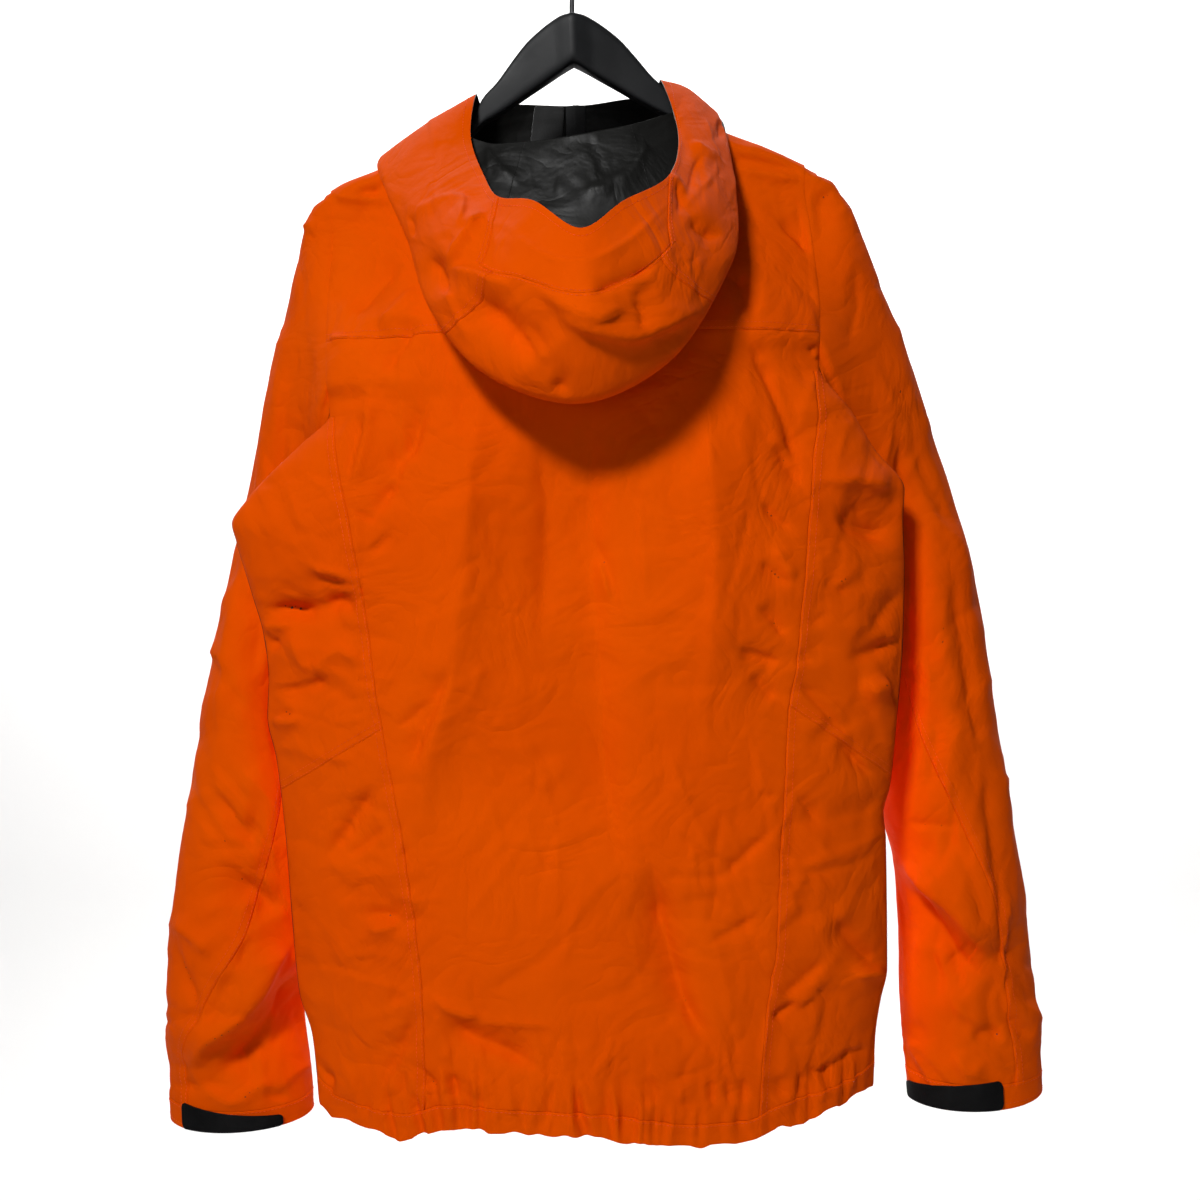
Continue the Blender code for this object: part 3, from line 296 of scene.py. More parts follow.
# How full the sheets are across, how the front's edges flatten towards its middle, and how the top rounds
bodyForm = {"backSquare": 2.4, "backFull": 0.7, "frontFull": 1.3, "topLift": 0.15, "roundOver": 12}
bodyForm |= {"plainY": 20, "plainDrop": 50, "plainFrom": -230, "plainOver": 240, "edgeFrom": 0.6, "edgeOver": 0.4}
bodyForm |= {"fullOver": 170}


def bodyPoint(sheet, x, z):
    form = bodyForm
    left, right = edge["left", "x"](z), edge["right", "x"](z)
    across = np.clip((2 * x - left - right) / (right - left), -1, 1)
    edgeY = edgeDepth("left", sheet, z) * (1 - across) / 2 + edgeDepth("right", sheet, z) * (1 + across) / 2
    if sheet == "back":
        fullness = (1 - np.abs(across) ** form["backSquare"]) ** form["backFull"]
    else:
        fullness = np.cos(across * math.pi / 2).clip(0) ** form["frontFull"]
        plainY = form["plainY"] - form["plainDrop"] * ease((form["plainFrom"] - z) / form["plainOver"])
        edgeY = plainY + (edgeY - plainY) * ease((np.abs(across) - form["edgeFrom"]) / form["edgeOver"])
    fullY = edgeY + (depth[sheet](z) - edgeY) * fullness
    outward = 1 if sheet == "front" else -1
    topY = topLine[sheet, "y"](x) + outward * form["topLift"]
    drop = (topLine[sheet, "z"](x) - z).clip(0)
    roundOver = np.sqrt(1 - (1 - (drop / form["roundOver"]).clip(0, 1)) ** 2)
    nearY = topY + outward * topLine[sheet, "round"](x) * roundOver
    return np.stack([x, nearY + (fullY - nearY) * ease(drop / form["fullOver"]), z], axis=-1)


def acrossBody(share, z, stops):
    lines = np.array([stop(z) for stop in stops])
    i = np.clip(np.floor(share).astype(int), 0, len(stops) - 2)[None]
    low, high = np.take_along_axis(lines, i, 0)[0], np.take_along_axis(lines, i + 1, 0)[0]
    return low + (high - low) * (share - i[0])


def heightAt(share, stops, heightOfX, start):
    z = np.full(share.shape, float(start))
    for _ in range(12):
        z = heightOfX(acrossBody(share, z, stops))
    return z


def bodyGrid(sheet, stops, shares, levels, step):  # returns the points and each row's place in the levels
    heights = np.stack([level(shares) for level in levels])
    rows = spread(-np.diff(heights.mean(axis=1)), step)
    i = np.minimum(rows.astype(int), len(levels) - 2)
    t = (rows - i)[:, None]
    z = heights[i] * (1 - t) + heights[i + 1] * t
    share = np.repeat(shares[None], len(rows), 0)
    return bodyPoint(sheet, acrossBody(share, z, stops), z), rows


def armholePoint(side, turn):
    rows = leftArmhole if side == "left" else rightArmhole
    turn = np.mod(turn, 1)
    x, z = (smoothThrough(rows["turn"], rows[axis])(turn) for axis in "xz")
    outward = -1 if side == "left" else 1
    onEdge = (turn < 0.5) & (z > wingCorner[side])
    x = np.where(onEdge, edge[side, "x"](z) - outward * cloth["armholeTuck"], x)
    back, front = (bodyPoint(sheet, x, z)[..., 1] for sheet in ("back", "front"))
    y = np.where(onEdge, back, front - 2 * cloth["armholeTuck"]) + cloth["armholeTuck"]
    return np.stack([x, y, z], axis=-1)


# Where a sleeve leaves the armhole's loop for its own ovals, and how far it keeps from the body
sleeveForm = {"sections": 14, "blend": 4.5, "blendPower": 1.5, "clear": 12, "clearOver": 1.1}


def sleevePoint(side, turn, section):
    rows = leftSleeve if side == "left" else rightSleeve
    at = {name: smoothThrough(np.arange(sleeveForm["sections"]), rows[name])(section) for name in rows}
    swing, wave = np.cos(2 * math.pi * turn), np.sin(2 * math.pi * turn)
    x = (at["outX"] + at["inX"]) / 2 + (at["outX"] - at["inX"]) / 2 * swing
    z = (at["outZ"] + at["inZ"]) / 2 + (at["outZ"] - at["inZ"]) / 2 * swing
    oval = np.stack([x, at["midY"] - at["half"] * wave, z - at["dip"] * wave], axis=-1)
    start = armholePoint(side, turn)
    firstX, firstZ = (
        (rows["out" + axis][0] + rows["in" + axis][0]) / 2
        + (rows["out" + axis][0] - rows["in" + axis][0]) / 2 * swing
        for axis in "XZ"
    )
    pulled = np.stack([x + start[..., 0] - firstX, start[..., 1], z + start[..., 2] - firstZ], axis=-1)
    share = ((1 - section / sleeveForm["blend"]).clip(0) ** sleeveForm["blendPower"])[..., None]
    clear = -cloth["armholeTuck"] + sleeveForm["clear"] * ease(section / sleeveForm["clearOver"])
    return clearOfBody(side, share * pulled + (1 - share) * oval, clear)


def clearOfBody(side, point, clear):  # beside the body above the wing's corner, in front of it below
    outward, tuck = -1 if side == "left" else 1, cloth["armholeTuck"]
    x, y, z = point[..., 0], point[..., 1], point[..., 2]
    edgeX = edge[side, "x"](z)
    outside = outward * (x - edgeX)
    above = z > wingCorner[side]
    beside = (y < bodyPoint("front", x, z)[..., 1]) & above & (outside < -tuck)
    x = np.where(beside, edgeX - outward * tuck, x)
    front = bodyPoint("front", x, z)[..., 1]
    before = ~above & (outside < clear)
    return np.stack([x, np.where(before, np.maximum(y, front + clear), y), z], axis=-1)


# The hood's doubled layers are held apart by a gap, from one station to another
hoodForm = {"stations": 15, "loops": 4, "fold": 2, "foldOver": 0.16, "gap": 2.2, "from": 1.2, "to": 13.6, "over": 0.8}


def hoodPoint(station, loop):
    form = hoodForm
    last = form["loops"]
    i, j = np.floor(station).astype(int), np.clip(np.floor(loop), 0, last - 1).astype(int)
    t, s = (station - i)[..., None], (loop - j)[..., None]

    def rib(row):
        row = np.clip(row, 0, last)
        return spline(*[hoodCage[row, (i + k) % form["stations"]] for k in (-1, 0, 1, 2)], t)

    layers = unit(rib(j * 0 + 1) - rib(j * 0 + 3))
    folded = ease((station - form["from"]) / form["over"]) * ease((form["to"] - station) / form["over"])
    apart = ((form["fold"] - loop) / form["foldOver"]).clip(-1, 1) * np.minimum(1, np.minimum(loop, last - loop))
    gap = layers * (form["gap"] * folded * apart)[..., None]
    return spline(rib(j - 1), rib(j), rib(j + 1), rib(j + 2), s) + gap


def arcs(points):  # lengths along the columns and the rows, from the grid's middle and its top
    across = np.linalg.norm(np.diff(points, axis=1), axis=-1)
    down = np.linalg.norm(np.diff(points, axis=0), axis=-1)
    u = np.concatenate([np.zeros((len(points), 1)), np.cumsum(across, axis=1)], axis=1)
    v = np.concatenate([np.zeros((1, points.shape[1])), np.cumsum(down, axis=0)])
    return u - u[:, [points.shape[1] // 2]], v


def directions(points, axis):
    points = np.moveaxis(points, axis, 0)
    step = unit(np.diff(points, axis=0))
    both = np.concatenate([step[:1], unit(step[1:] + step[:-1]), step[-1:]])
    return np.moveaxis(both, 0, axis)


def frameOf(points):
    around, down = directions(points, 1), directions(points, 0)
    return around, down, unit(np.cross(down, around))


# A crease is never steeper than these shares of its half width, and leans by its number unless told how
creaseForm = {"trough": -0.56, "ridge": 0.6, "leans": (-0.45, 0.5, 0.3, -0.35, 0.55), "reach": 3.2, "pieces": 6}
creaseForm |= {"soft": 0.015, "crest": 0.12, "fall": 1.45, "endFrom": 2, "endOver": 1.2, "tip": 0.3}


# Rows are (height, half width, lean, u, v, u, v, ...) in the photo's pixels
def creases(u, v, rows, gain=1.0, widen=1.0):
    form = creaseForm
    total = np.zeros(u.shape)
    for number, (tall, wide, lean, *ends) in enumerate(rows):
        wide = wide * widen
        lean = lean or form["leans"][number % 5]
        tall = max(form["trough"] * wide, min(form["ridge"] * wide, tall * gain))
        ends = np.array(ends, float).reshape(-1, 2)
        if len(ends) == 2:
            ends = np.array([ends[0], ends.mean(axis=0), ends[1]])
        padded = np.concatenate([2 * ends[:1] - ends[1:2], ends, 2 * ends[-1:] - ends[-2:-1]])
        places = np.linspace(0, 1, form["pieces"])[:-1]
        path = [spline(*padded[k : k + 4], t) for k in range(len(ends) - 1) for t in places]
        path = np.array(path + [ends[-1]])
        reach = wide * form["reach"]
        low, high = path.min(axis=0) - reach, path.max(axis=0) + reach
        near = (u > low[0]) & (u < high[0]) & (v > low[1]) & (v < high[1])
        if not near.any():
            continue
        at = np.stack([u[near], v[near]], axis=-1)[:, None]
        start, along = path[:-1], np.diff(path, axis=0)
        size = np.linalg.norm(along, axis=-1)
        t = (((at - start) * along).sum(-1) / size**2).clip(0, 1)
        offset = at - start - t[..., None] * along
        away = np.linalg.norm(offset, axis=-1)
        side = along[:, 0] * offset[..., 1] - along[:, 1] * offset[..., 0]
        gone = np.concatenate([[0], np.cumsum(size)])
        best = away.argmin(axis=1)
        pick = np.arange(len(best))
        share = (gone[best] + t[pick, best] * size[best]) / gone[-1]
        leaning = np.where(side[pick, best] > 0, 1 + lean, 1 - lean)
        width = wide * leaning * (0.6 + 0.55 * np.sin(math.pi * share))
        fade = 0.1 + 0.9 * ease(share / form["tip"]) * ease((1 - share) / form["tip"])
        far = away[pick, best] / width
        crest = np.exp(-(np.sqrt(far**2 + form["soft"]) - form["crest"]) * form["fall"])
        total[near] += tall * fade * crest * (1 - ease((far - form["endFrom"]) / form["endOver"]))
    return total


# Many small creases. Rows are (count, box, direction in degrees and its spread, height, width, length)
def scattered(seed, rows):
    random, made = np.random.default_rng(seed), []
    for count, left, top, right, low, angle, loose, tall, wide, long in rows:
        for _ in range(count):
            u, v = random.uniform(left, right), random.uniform(top, low)
            turn = math.radians(angle + random.normal(0, loose))
            half = long * random.uniform(0.6, 2.0) / 2
            bend = random.normal(0, 0.2) * half
            du, dv = math.cos(turn), math.sin(turn)
            height = tall * random.uniform(0.35, 1.1) * random.choice((-1, 1))
            ends = (u - du * half, v - dv * half, u - dv * bend, v + du * bend, u + du * half, v + dv * half)
            made.append((height * 0.85, wide * random.uniform(0.6, 1.3), random.uniform(-0.6, 0.6), *ends))
    return made


def crumple(u, v, seed, tall=1.0):  # small irregular creases; u and v in millimetres
    total = 0
    for size, share in ((74, 1.5), (31, 0.8), (13, 0.26)):
        bend = softNoise(u / size * 0.8, v / size * 0.8, seed + 7) * 0.6
        soft = softNoise(u / size + bend, v / size * 0.8 - bend, seed)
        ridge = 1 - np.abs(softNoise(u / size * 0.7 - bend + 9, v / size * 0.7 + 5, seed + 3)) * 2.4
        total = total + share * (soft + 0.55 * ridge.clip(-0.4, 1))
        seed += 11
    return total * tall * 0.7


# A seam's groove, the lap beside it and its puckers. away is signed: the lap lies where it is positive
def atSeam(away, along, seed, groove=0.22, lap=0.3, pucker=0.6):
    near = np.abs(away)
    dent = -groove * np.exp(-((near / 0.9) ** 2))
    step = lap * ease(away / 1.0) * ease((7.4 - away) / 1.0)
    waves = softNoise(along / 9, near / 26 + seed, seed) + 0.6 * softNoise(along / 5, near / 20, seed + 1)
    return dent + step + pucker * waves * np.exp(-((near / 11) ** 1.5))


pieces = {}
cuts = {}
cloth = {"thick": 0.9, "armholeTuck": 0.5}


# A wall of the grid's chosen cells, with an outside, an inside and a rim. flat is the smooth grid that the
# cut is measured on, how the cloth is held, and what it rests on
def wall(name, slot, points, cells, faceLook, backLook, thick=None, lift=0.0, flat=None, uv=None, topEdge=None):
    thick = cloth["thick"] if thick is None else thick
    normal = frameOf(points)[2]
    rows, columns = points.shape[:2]
    used = np.zeros((rows, columns), bool)
    for dr in (0, 1):
        for dc in (0, 1):
            used[dr : rows - 1 + dr, dc : columns - 1 + dc] |= cells
    outer = points + lift * normal
    inner = outer - thick * normal
    number = -np.ones((rows, columns), int)
    number[used] = np.arange(used.sum())
    count = int(used.sum())
    quads = np.stack([number[:-1, :-1], number[1:, :-1], number[1:, 1:], number[:-1, 1:]], axis=-1)[cells]
    ends = np.concatenate([np.stack([quads[:, k], quads[:, (k + 1) % 4]], axis=-1) for k in range(4)])
    keys, back = ends[:, 0] * count + ends[:, 1], ends[:, 1] * count + ends[:, 0]
    border = ends[~np.isin(keys, back)]
    rim = np.stack([border[:, 1], border[:, 0], border[:, 0] + count, border[:, 1] + count], axis=-1)
    faces = np.concatenate([quads, quads[:, ::-1] + count, rim])
    mesh = bpy.data.meshes.new(name)
    corners = np.concatenate([outer[used], inner[used]]) * mm
    mesh.vertices.add(len(corners))
    mesh.vertices.foreach_set("co", corners.ravel())
    mesh.loops.add(faces.size)
    mesh.loops.foreach_set("vertex_index", faces.ravel())
    mesh.polygons.add(len(faces))
    mesh.polygons.foreach_set("loop_start", np.arange(0, faces.size, 4))
    mesh.polygons.foreach_set("loop_total", np.full(len(faces), 4))
    first = number[0][number[0] >= 0]  # the rim along the grid's first row may have a binding of its own
    onTop = np.isin(border, first).all(axis=1) if topEdge else np.zeros(len(border), bool)
    kinds = np.concatenate([np.zeros(len(quads), int), np.ones(len(quads), int), np.where(onTop, 2, 0)])
    for look in (faceLook, backLook, topEdge)[: 3 if topEdge else 2]:
        mesh.materials.append(looks[look])
    mesh.polygons.foreach_set("material_index", kinds)
    mesh.update()
    mesh.validate()
    mesh.shade_smooth()
    u, v = arcs(points) if uv is None else uv
    flatUv = np.stack([u[used], -v[used]], axis=-1) * mm
    flatUv = np.concatenate([flatUv, flatUv])[faces.ravel()]
    mesh.uv_layers.new(name="cloth").data.foreach_set("uv", flatUv.ravel())
    piece = bpy.data.objects.new(name + "_cloth", mesh)
    bpy.context.scene.collection.objects.link(piece)
    pieces[name] = (piece, slot)
    if flat is not None:  # the cut, from the smooth shape before it was creased
        plain, held, rests = flat
        across, deep = arcs(plain)
        rowSpan = [np.ptp(across[r][used[r]]) for r in range(rows) if used[r].any()]
        columnSpan = [np.ptp(deep[:, c][used[:, c]]) for c in range(columns) if used[:, c].any()]
        one, two = plain[1:, :-1] - plain[:-1, 1:], plain[1:, 1:] - plain[:-1, :-1]
        area = (np.linalg.norm(np.cross(one, two), axis=-1) / 2)[cells].sum()
        width, length = max(rowSpan), max(columnSpan)
        share = min(1.0, area / (width * length))
        cuts[name] = (round(width), round(length), round(share, 3), held, rests)
    return piece


def sampleLine(points, rowPlaces, columnPlaces):  # a line across a grid, through fractional rows and columns
    r = np.clip(np.asarray(rowPlaces, float), 0, points.shape[0] - 1.001)
    c = np.clip(np.asarray(columnPlaces, float), 0, points.shape[1] - 1.001)
    i, j = r.astype(int), c.astype(int)
    s, t = (r - i)[:, None], (c - j)[:, None]
    top = points[i, j] * (1 - t) + points[i, j + 1] * t
    low = points[i + 1, j] * (1 - t) + points[i + 1, j + 1] * t
    return top * (1 - s) + low * s


threads = []  # lines that the stitches follow
threadLift = 0.12


def layThread(points, rows, columns):
    lifted = sampleLine(frameOf(points)[2], rows, columns) * threadLift
    threads.append(sampleLine(points, rows, columns) + lifted)


def stitchColumn(points, u, column, away, first, last):  # beside a seam that runs down a column
    rows = np.arange(first, last + 1)
    places = [np.interp(u[r, column] + away, u[r], np.arange(points.shape[1])) for r in rows]
    layThread(points, rows, places)


def stitchRow(points, v, row, away, first, last):  # beside a seam that runs along a row
    columns = np.arange(first, last + 1)
    places = [np.interp(v[row, c] + away, v[:, c], np.arange(points.shape[0])) for c in columns]
    layThread(points, places, columns)


def newLook(name, colour, roughness, **sockets):
    look = bpy.data.materials.new(name)
    look.use_nodes = True
    tree = look.node_tree
    shader = tree.nodes["Principled BSDF"]
    shader.inputs["Base Color"].default_value = (*colour, 1)
    shader.inputs["Roughness"].default_value = roughness
    for socket, value in sockets.items():
        shader.inputs[socket.replace("_", " ")].default_value = value
    return look, tree, shader


def put(tree, kind, inputs=None, **settings):
    made = tree.nodes.new("ShaderNode" + kind)
    for name, value in settings.items():
        setattr(made, name, value)
    for name, value in (inputs or {}).items():
        if isinstance(value, bpy.types.NodeSocket):
            tree.links.new(value, made.inputs[name])
        else:
            made.inputs[name].default_value = value
    return made


def noiseAt(tree, where, scale, detail=3.0, roughness=0.55, distortion=0.0):
    inputs = {"Vector": where, "Scale": scale, "Detail": detail}
    inputs |= {"Roughness": roughness, "Distortion": distortion}
    return put(tree, "TexNoise", inputs).outputs["Fac"]


def spanTo(tree, value, low, high, toLow, toHigh):
    inputs = {"Value": value, "From Min": low, "From Max": high, "To Min": toLow, "To Max": toHigh}
    return put(tree, "MapRange", inputs).outputs["Result"]


def blendColours(tree, share, first, second):
    made = put(tree, "Mix", data_type="RGBA")
    tree.links.new(share, made.inputs[0])
    for place, value in ((6, first), (7, second)):
        if isinstance(value, bpy.types.NodeSocket):
            tree.links.new(value, made.inputs[place])
        else:
            made.inputs[place].default_value = (*value, 1)
    return made.outputs[2]


def threadsAcross(tree, where, pitch):  # woven threads in both directions, 0 between them and 1 on top
    waves = []
    for axis in ("X", "Y"):
        inputs = {"Vector": where, "Scale": math.pi / 10 / pitch, "Distortion": 0.0}
        waves.append(put(tree, "TexWave", inputs, bands_direction=axis).outputs["Fac"])
    over = put(tree, "Math", {0: waves[0], 1: waves[1]}, operation="MULTIPLY")
    return over.outputs[0]


def bumped(tree, shader, layers):  # layers are (height, strength, distance in metres)
    normal = None
    for height, strength, distance in layers:
        inputs = {"Height": height, "Strength": strength, "Distance": distance}
        if normal is not None:
            inputs["Normal"] = normal
        normal = put(tree, "Bump", inputs).outputs["Normal"]
    tree.links.new(normal, shader.inputs["Normal"])


def clothLook(name, style):
    look, tree, shader = newLook(name, style["colour"], style["roughness"], **style.get("sockets", {}))
    where = put(tree, "TexCoord").outputs["Object"]
    along = put(tree, "UVMap", uv_map="cloth").outputs["UV"]
    mottled = spanTo(tree, noiseAt(tree, where, 7.0, 4.0), 0.34, 0.66, 0, 1)
    fine = spanTo(tree, noiseAt(tree, where, 420.0, 2.0), 0.3, 0.7, 0, 1)
    base = blendColours(tree, mottled, style["colour"], style["second"])
    weave = threadsAcross(tree, along, style["pitch"])
    # painted shade: the weave pattern darkens the base colour towards the cloth's gap colour, for the shade in the
    # grooves between the threads
    grooveShade = put(tree, "Math", {0: weave, 1: style["gapShade"]}, operation="MULTIPLY").outputs[0]
    tree.links.new(blendColours(tree, grooveShade, base, style["gap"]), shader.inputs["Base Color"])
    rough = put(tree, "Math", {0: mottled, 1: fine}, operation="ADD").outputs[0]
    low, high = style["roughness"] - 0.05, style["roughness"] + 0.07
    tree.links.new(spanTo(tree, rough, 0, 2, low, high), shader.inputs["Roughness"])
    wrinkled = noiseAt(tree, where, 46.0, 4.0, 0.52, 0.4)
    broad = noiseAt(tree, where, 15.0, 3.0, 0.5, 1.1)
    apart = put(tree, "Math", {0: broad, 1: 0.5}, operation="SUBTRACT").outputs[0]
    # sharp where the noise crosses its middle
    creased = put(tree, "Math", {0: apart}, operation="ABSOLUTE").outputs[0]
    layers = [(creased, style["wrinkle"] * 1.3, 0.014), (wrinkled, style["wrinkle"], 0.0024)]
    layers += [(weave, style["weave"], 0.00007), (fine, 0.2, 0.00012)]
    bumped(tree, shader, layers)
    return look


# Each cloth's gap colour is a darker copy of its colour: painted shade for the grooves between the woven threads,
# blended in by gapShade
orange = {"colour": (0.84, 0.092, 0.0), "second": (0.79, 0.08, 0.0), "gap": (0.64, 0.056, 0.0)}
orange |= {"roughness": 0.62, "pitch": 0.0007, "gapShade": 0.22, "weave": 0.5, "wrinkle": 0.3}
orange["sockets"] = {"Specular_IOR_Level": 0.04, "Specular_Tint": (1.0, 0.32, 0.04, 1.0)}
lining = {"colour": (0.0098, 0.0096, 0.0088), "second": (0.0072, 0.007, 0.0063), "gap": (0.005, 0.005, 0.0045)}
lining |= {"roughness": 0.47, "pitch": 0.0008, "gapShade": 0.3, "weave": 0.5, "wrinkle": 0.22}
lining["sockets"] = {"Specular_IOR_Level": 0.26}
tape = {"colour": (0.014, 0.014, 0.015), "second": (0.02, 0.02, 0.021), "gap": (0.006, 0.006, 0.006)}
tape |= {"roughness": 0.62, "pitch": 0.0011, "gapShade": 0.5, "weave": 0.9, "wrinkle": 0.1}
facing = {"colour": (0.034, 0.034, 0.033), "second": (0.026, 0.026, 0.026), "gap": (0.014, 0.014, 0.014)}
facing |= {"roughness": 0.78, "pitch": 0.0012, "gapShade": 0.4, "weave": 0.8, "wrinkle": 0.15}
facing["sockets"] = {"Sheen_Weight": 0.35, "Sheen_Roughness": 0.5}
piping = {"colour": (0.40, 0.33, 0.27), "second": (0.34, 0.28, 0.23), "gap": (0.22, 0.18, 0.15)}
piping |= {"roughness": 0.6, "pitch": 0.0008, "gapShade": 0.3, "weave": 0.5, "wrinkle": 0.1}


def moulded(name, colour, roughness, grain, metallic=0.0, **sockets):  # plastic or metal with a fine grain
    look, tree, shader = newLook(name, colour, roughness, Metallic=metallic, **sockets)
    where = put(tree, "TexCoord").outputs["Object"]
    broad = spanTo(tree, noiseAt(tree, where, 22.0, 4.0), 0.35, 0.65, 0, 1)
    second = tuple(min(1, value * 1.35 + 0.002) for value in colour)
    tree.links.new(blendColours(tree, broad, colour, second), shader.inputs["Base Color"])
    tree.links.new(spanTo(tree, broad, 0, 1, roughness - 0.04, roughness + 0.07), shader.inputs["Roughness"])
    bumped(tree, shader, [(noiseAt(tree, where, 1400.0, 2.0), grain, 0.00006), (broad, grain, 0.0003)])
    return look


def tabLook():  # hook-and-loop tab: a black moulded face with small pimples
    look, tree, shader = newLook("black_tab_cloth", (0.003, 0.003, 0.0032), 0.5, Specular_IOR_Level=0.12)
    where = put(tree, "UVMap", uv_map="cloth").outputs["UV"]
    dots = put(tree, "TexVoronoi", {"Vector": where, "Scale": 620.0, "Randomness": 0.15}).outputs["Distance"]
    broad = spanTo(tree, noiseAt(tree, where, 60.0, 3.0), 0.3, 0.7, 0, 1)
    colour = blendColours(tree, broad, (0.0025, 0.0025, 0.0028), (0.005, 0.005, 0.0053))
    tree.links.new(colour, shader.inputs["Base Color"])
    tree.links.new(spanTo(tree, broad, 0, 1, 0.42, 0.6), shader.inputs["Roughness"])
    bumped(tree, shader, [(dots, 0.45, 0.0003), (broad, 0.3, 0.0006)])
    return look


looks = {
    "orange": clothLook("orange_shell_cloth", orange),
    "lining": clothLook("grey_lining_cloth", lining),
    "tape": clothLook("zip_tape_woven", tape),
    "facing": clothLook("charcoal_brushed", facing),
    "piping": clothLook("opening_binding", piping),
    "tab": tabLook(),
    "thread": moulded("orange_thread", (0.72, 0.062, 0.002), 0.5, 0.3),
    "teeth": moulded("zip_teeth_black", (0.012, 0.012, 0.013), 0.34, 0.2),
    "darkMetal": moulded("dark_metal_finish", (0.05, 0.05, 0.052), 0.3, 0.35, metallic=1.0),
    "plastic": moulded("hanger_matte_black", (0.009, 0.0095, 0.0105), 0.5, 0.4, Specular_IOR_Level=0.3),
    "chrome": moulded("hook_chrome", (0.72, 0.72, 0.74), 0.12, 0.1, metallic=1.0),
}
print("materials made:", len(looks))


# Heights of the seams at the left edge, the two princess seams and the right edge
seamAt = {"yoke": (-318, -318, -312, -312), "wing": (-376, -376, -341, -341)}
seamAt |= {"underarm": (-455, -455, -429, -429), "slanting": (-656, -607, -590, -646)}
hemHeight, cuffHeight, zipX, zipHalf = 17.0, 18.0, 2.0, 8.0

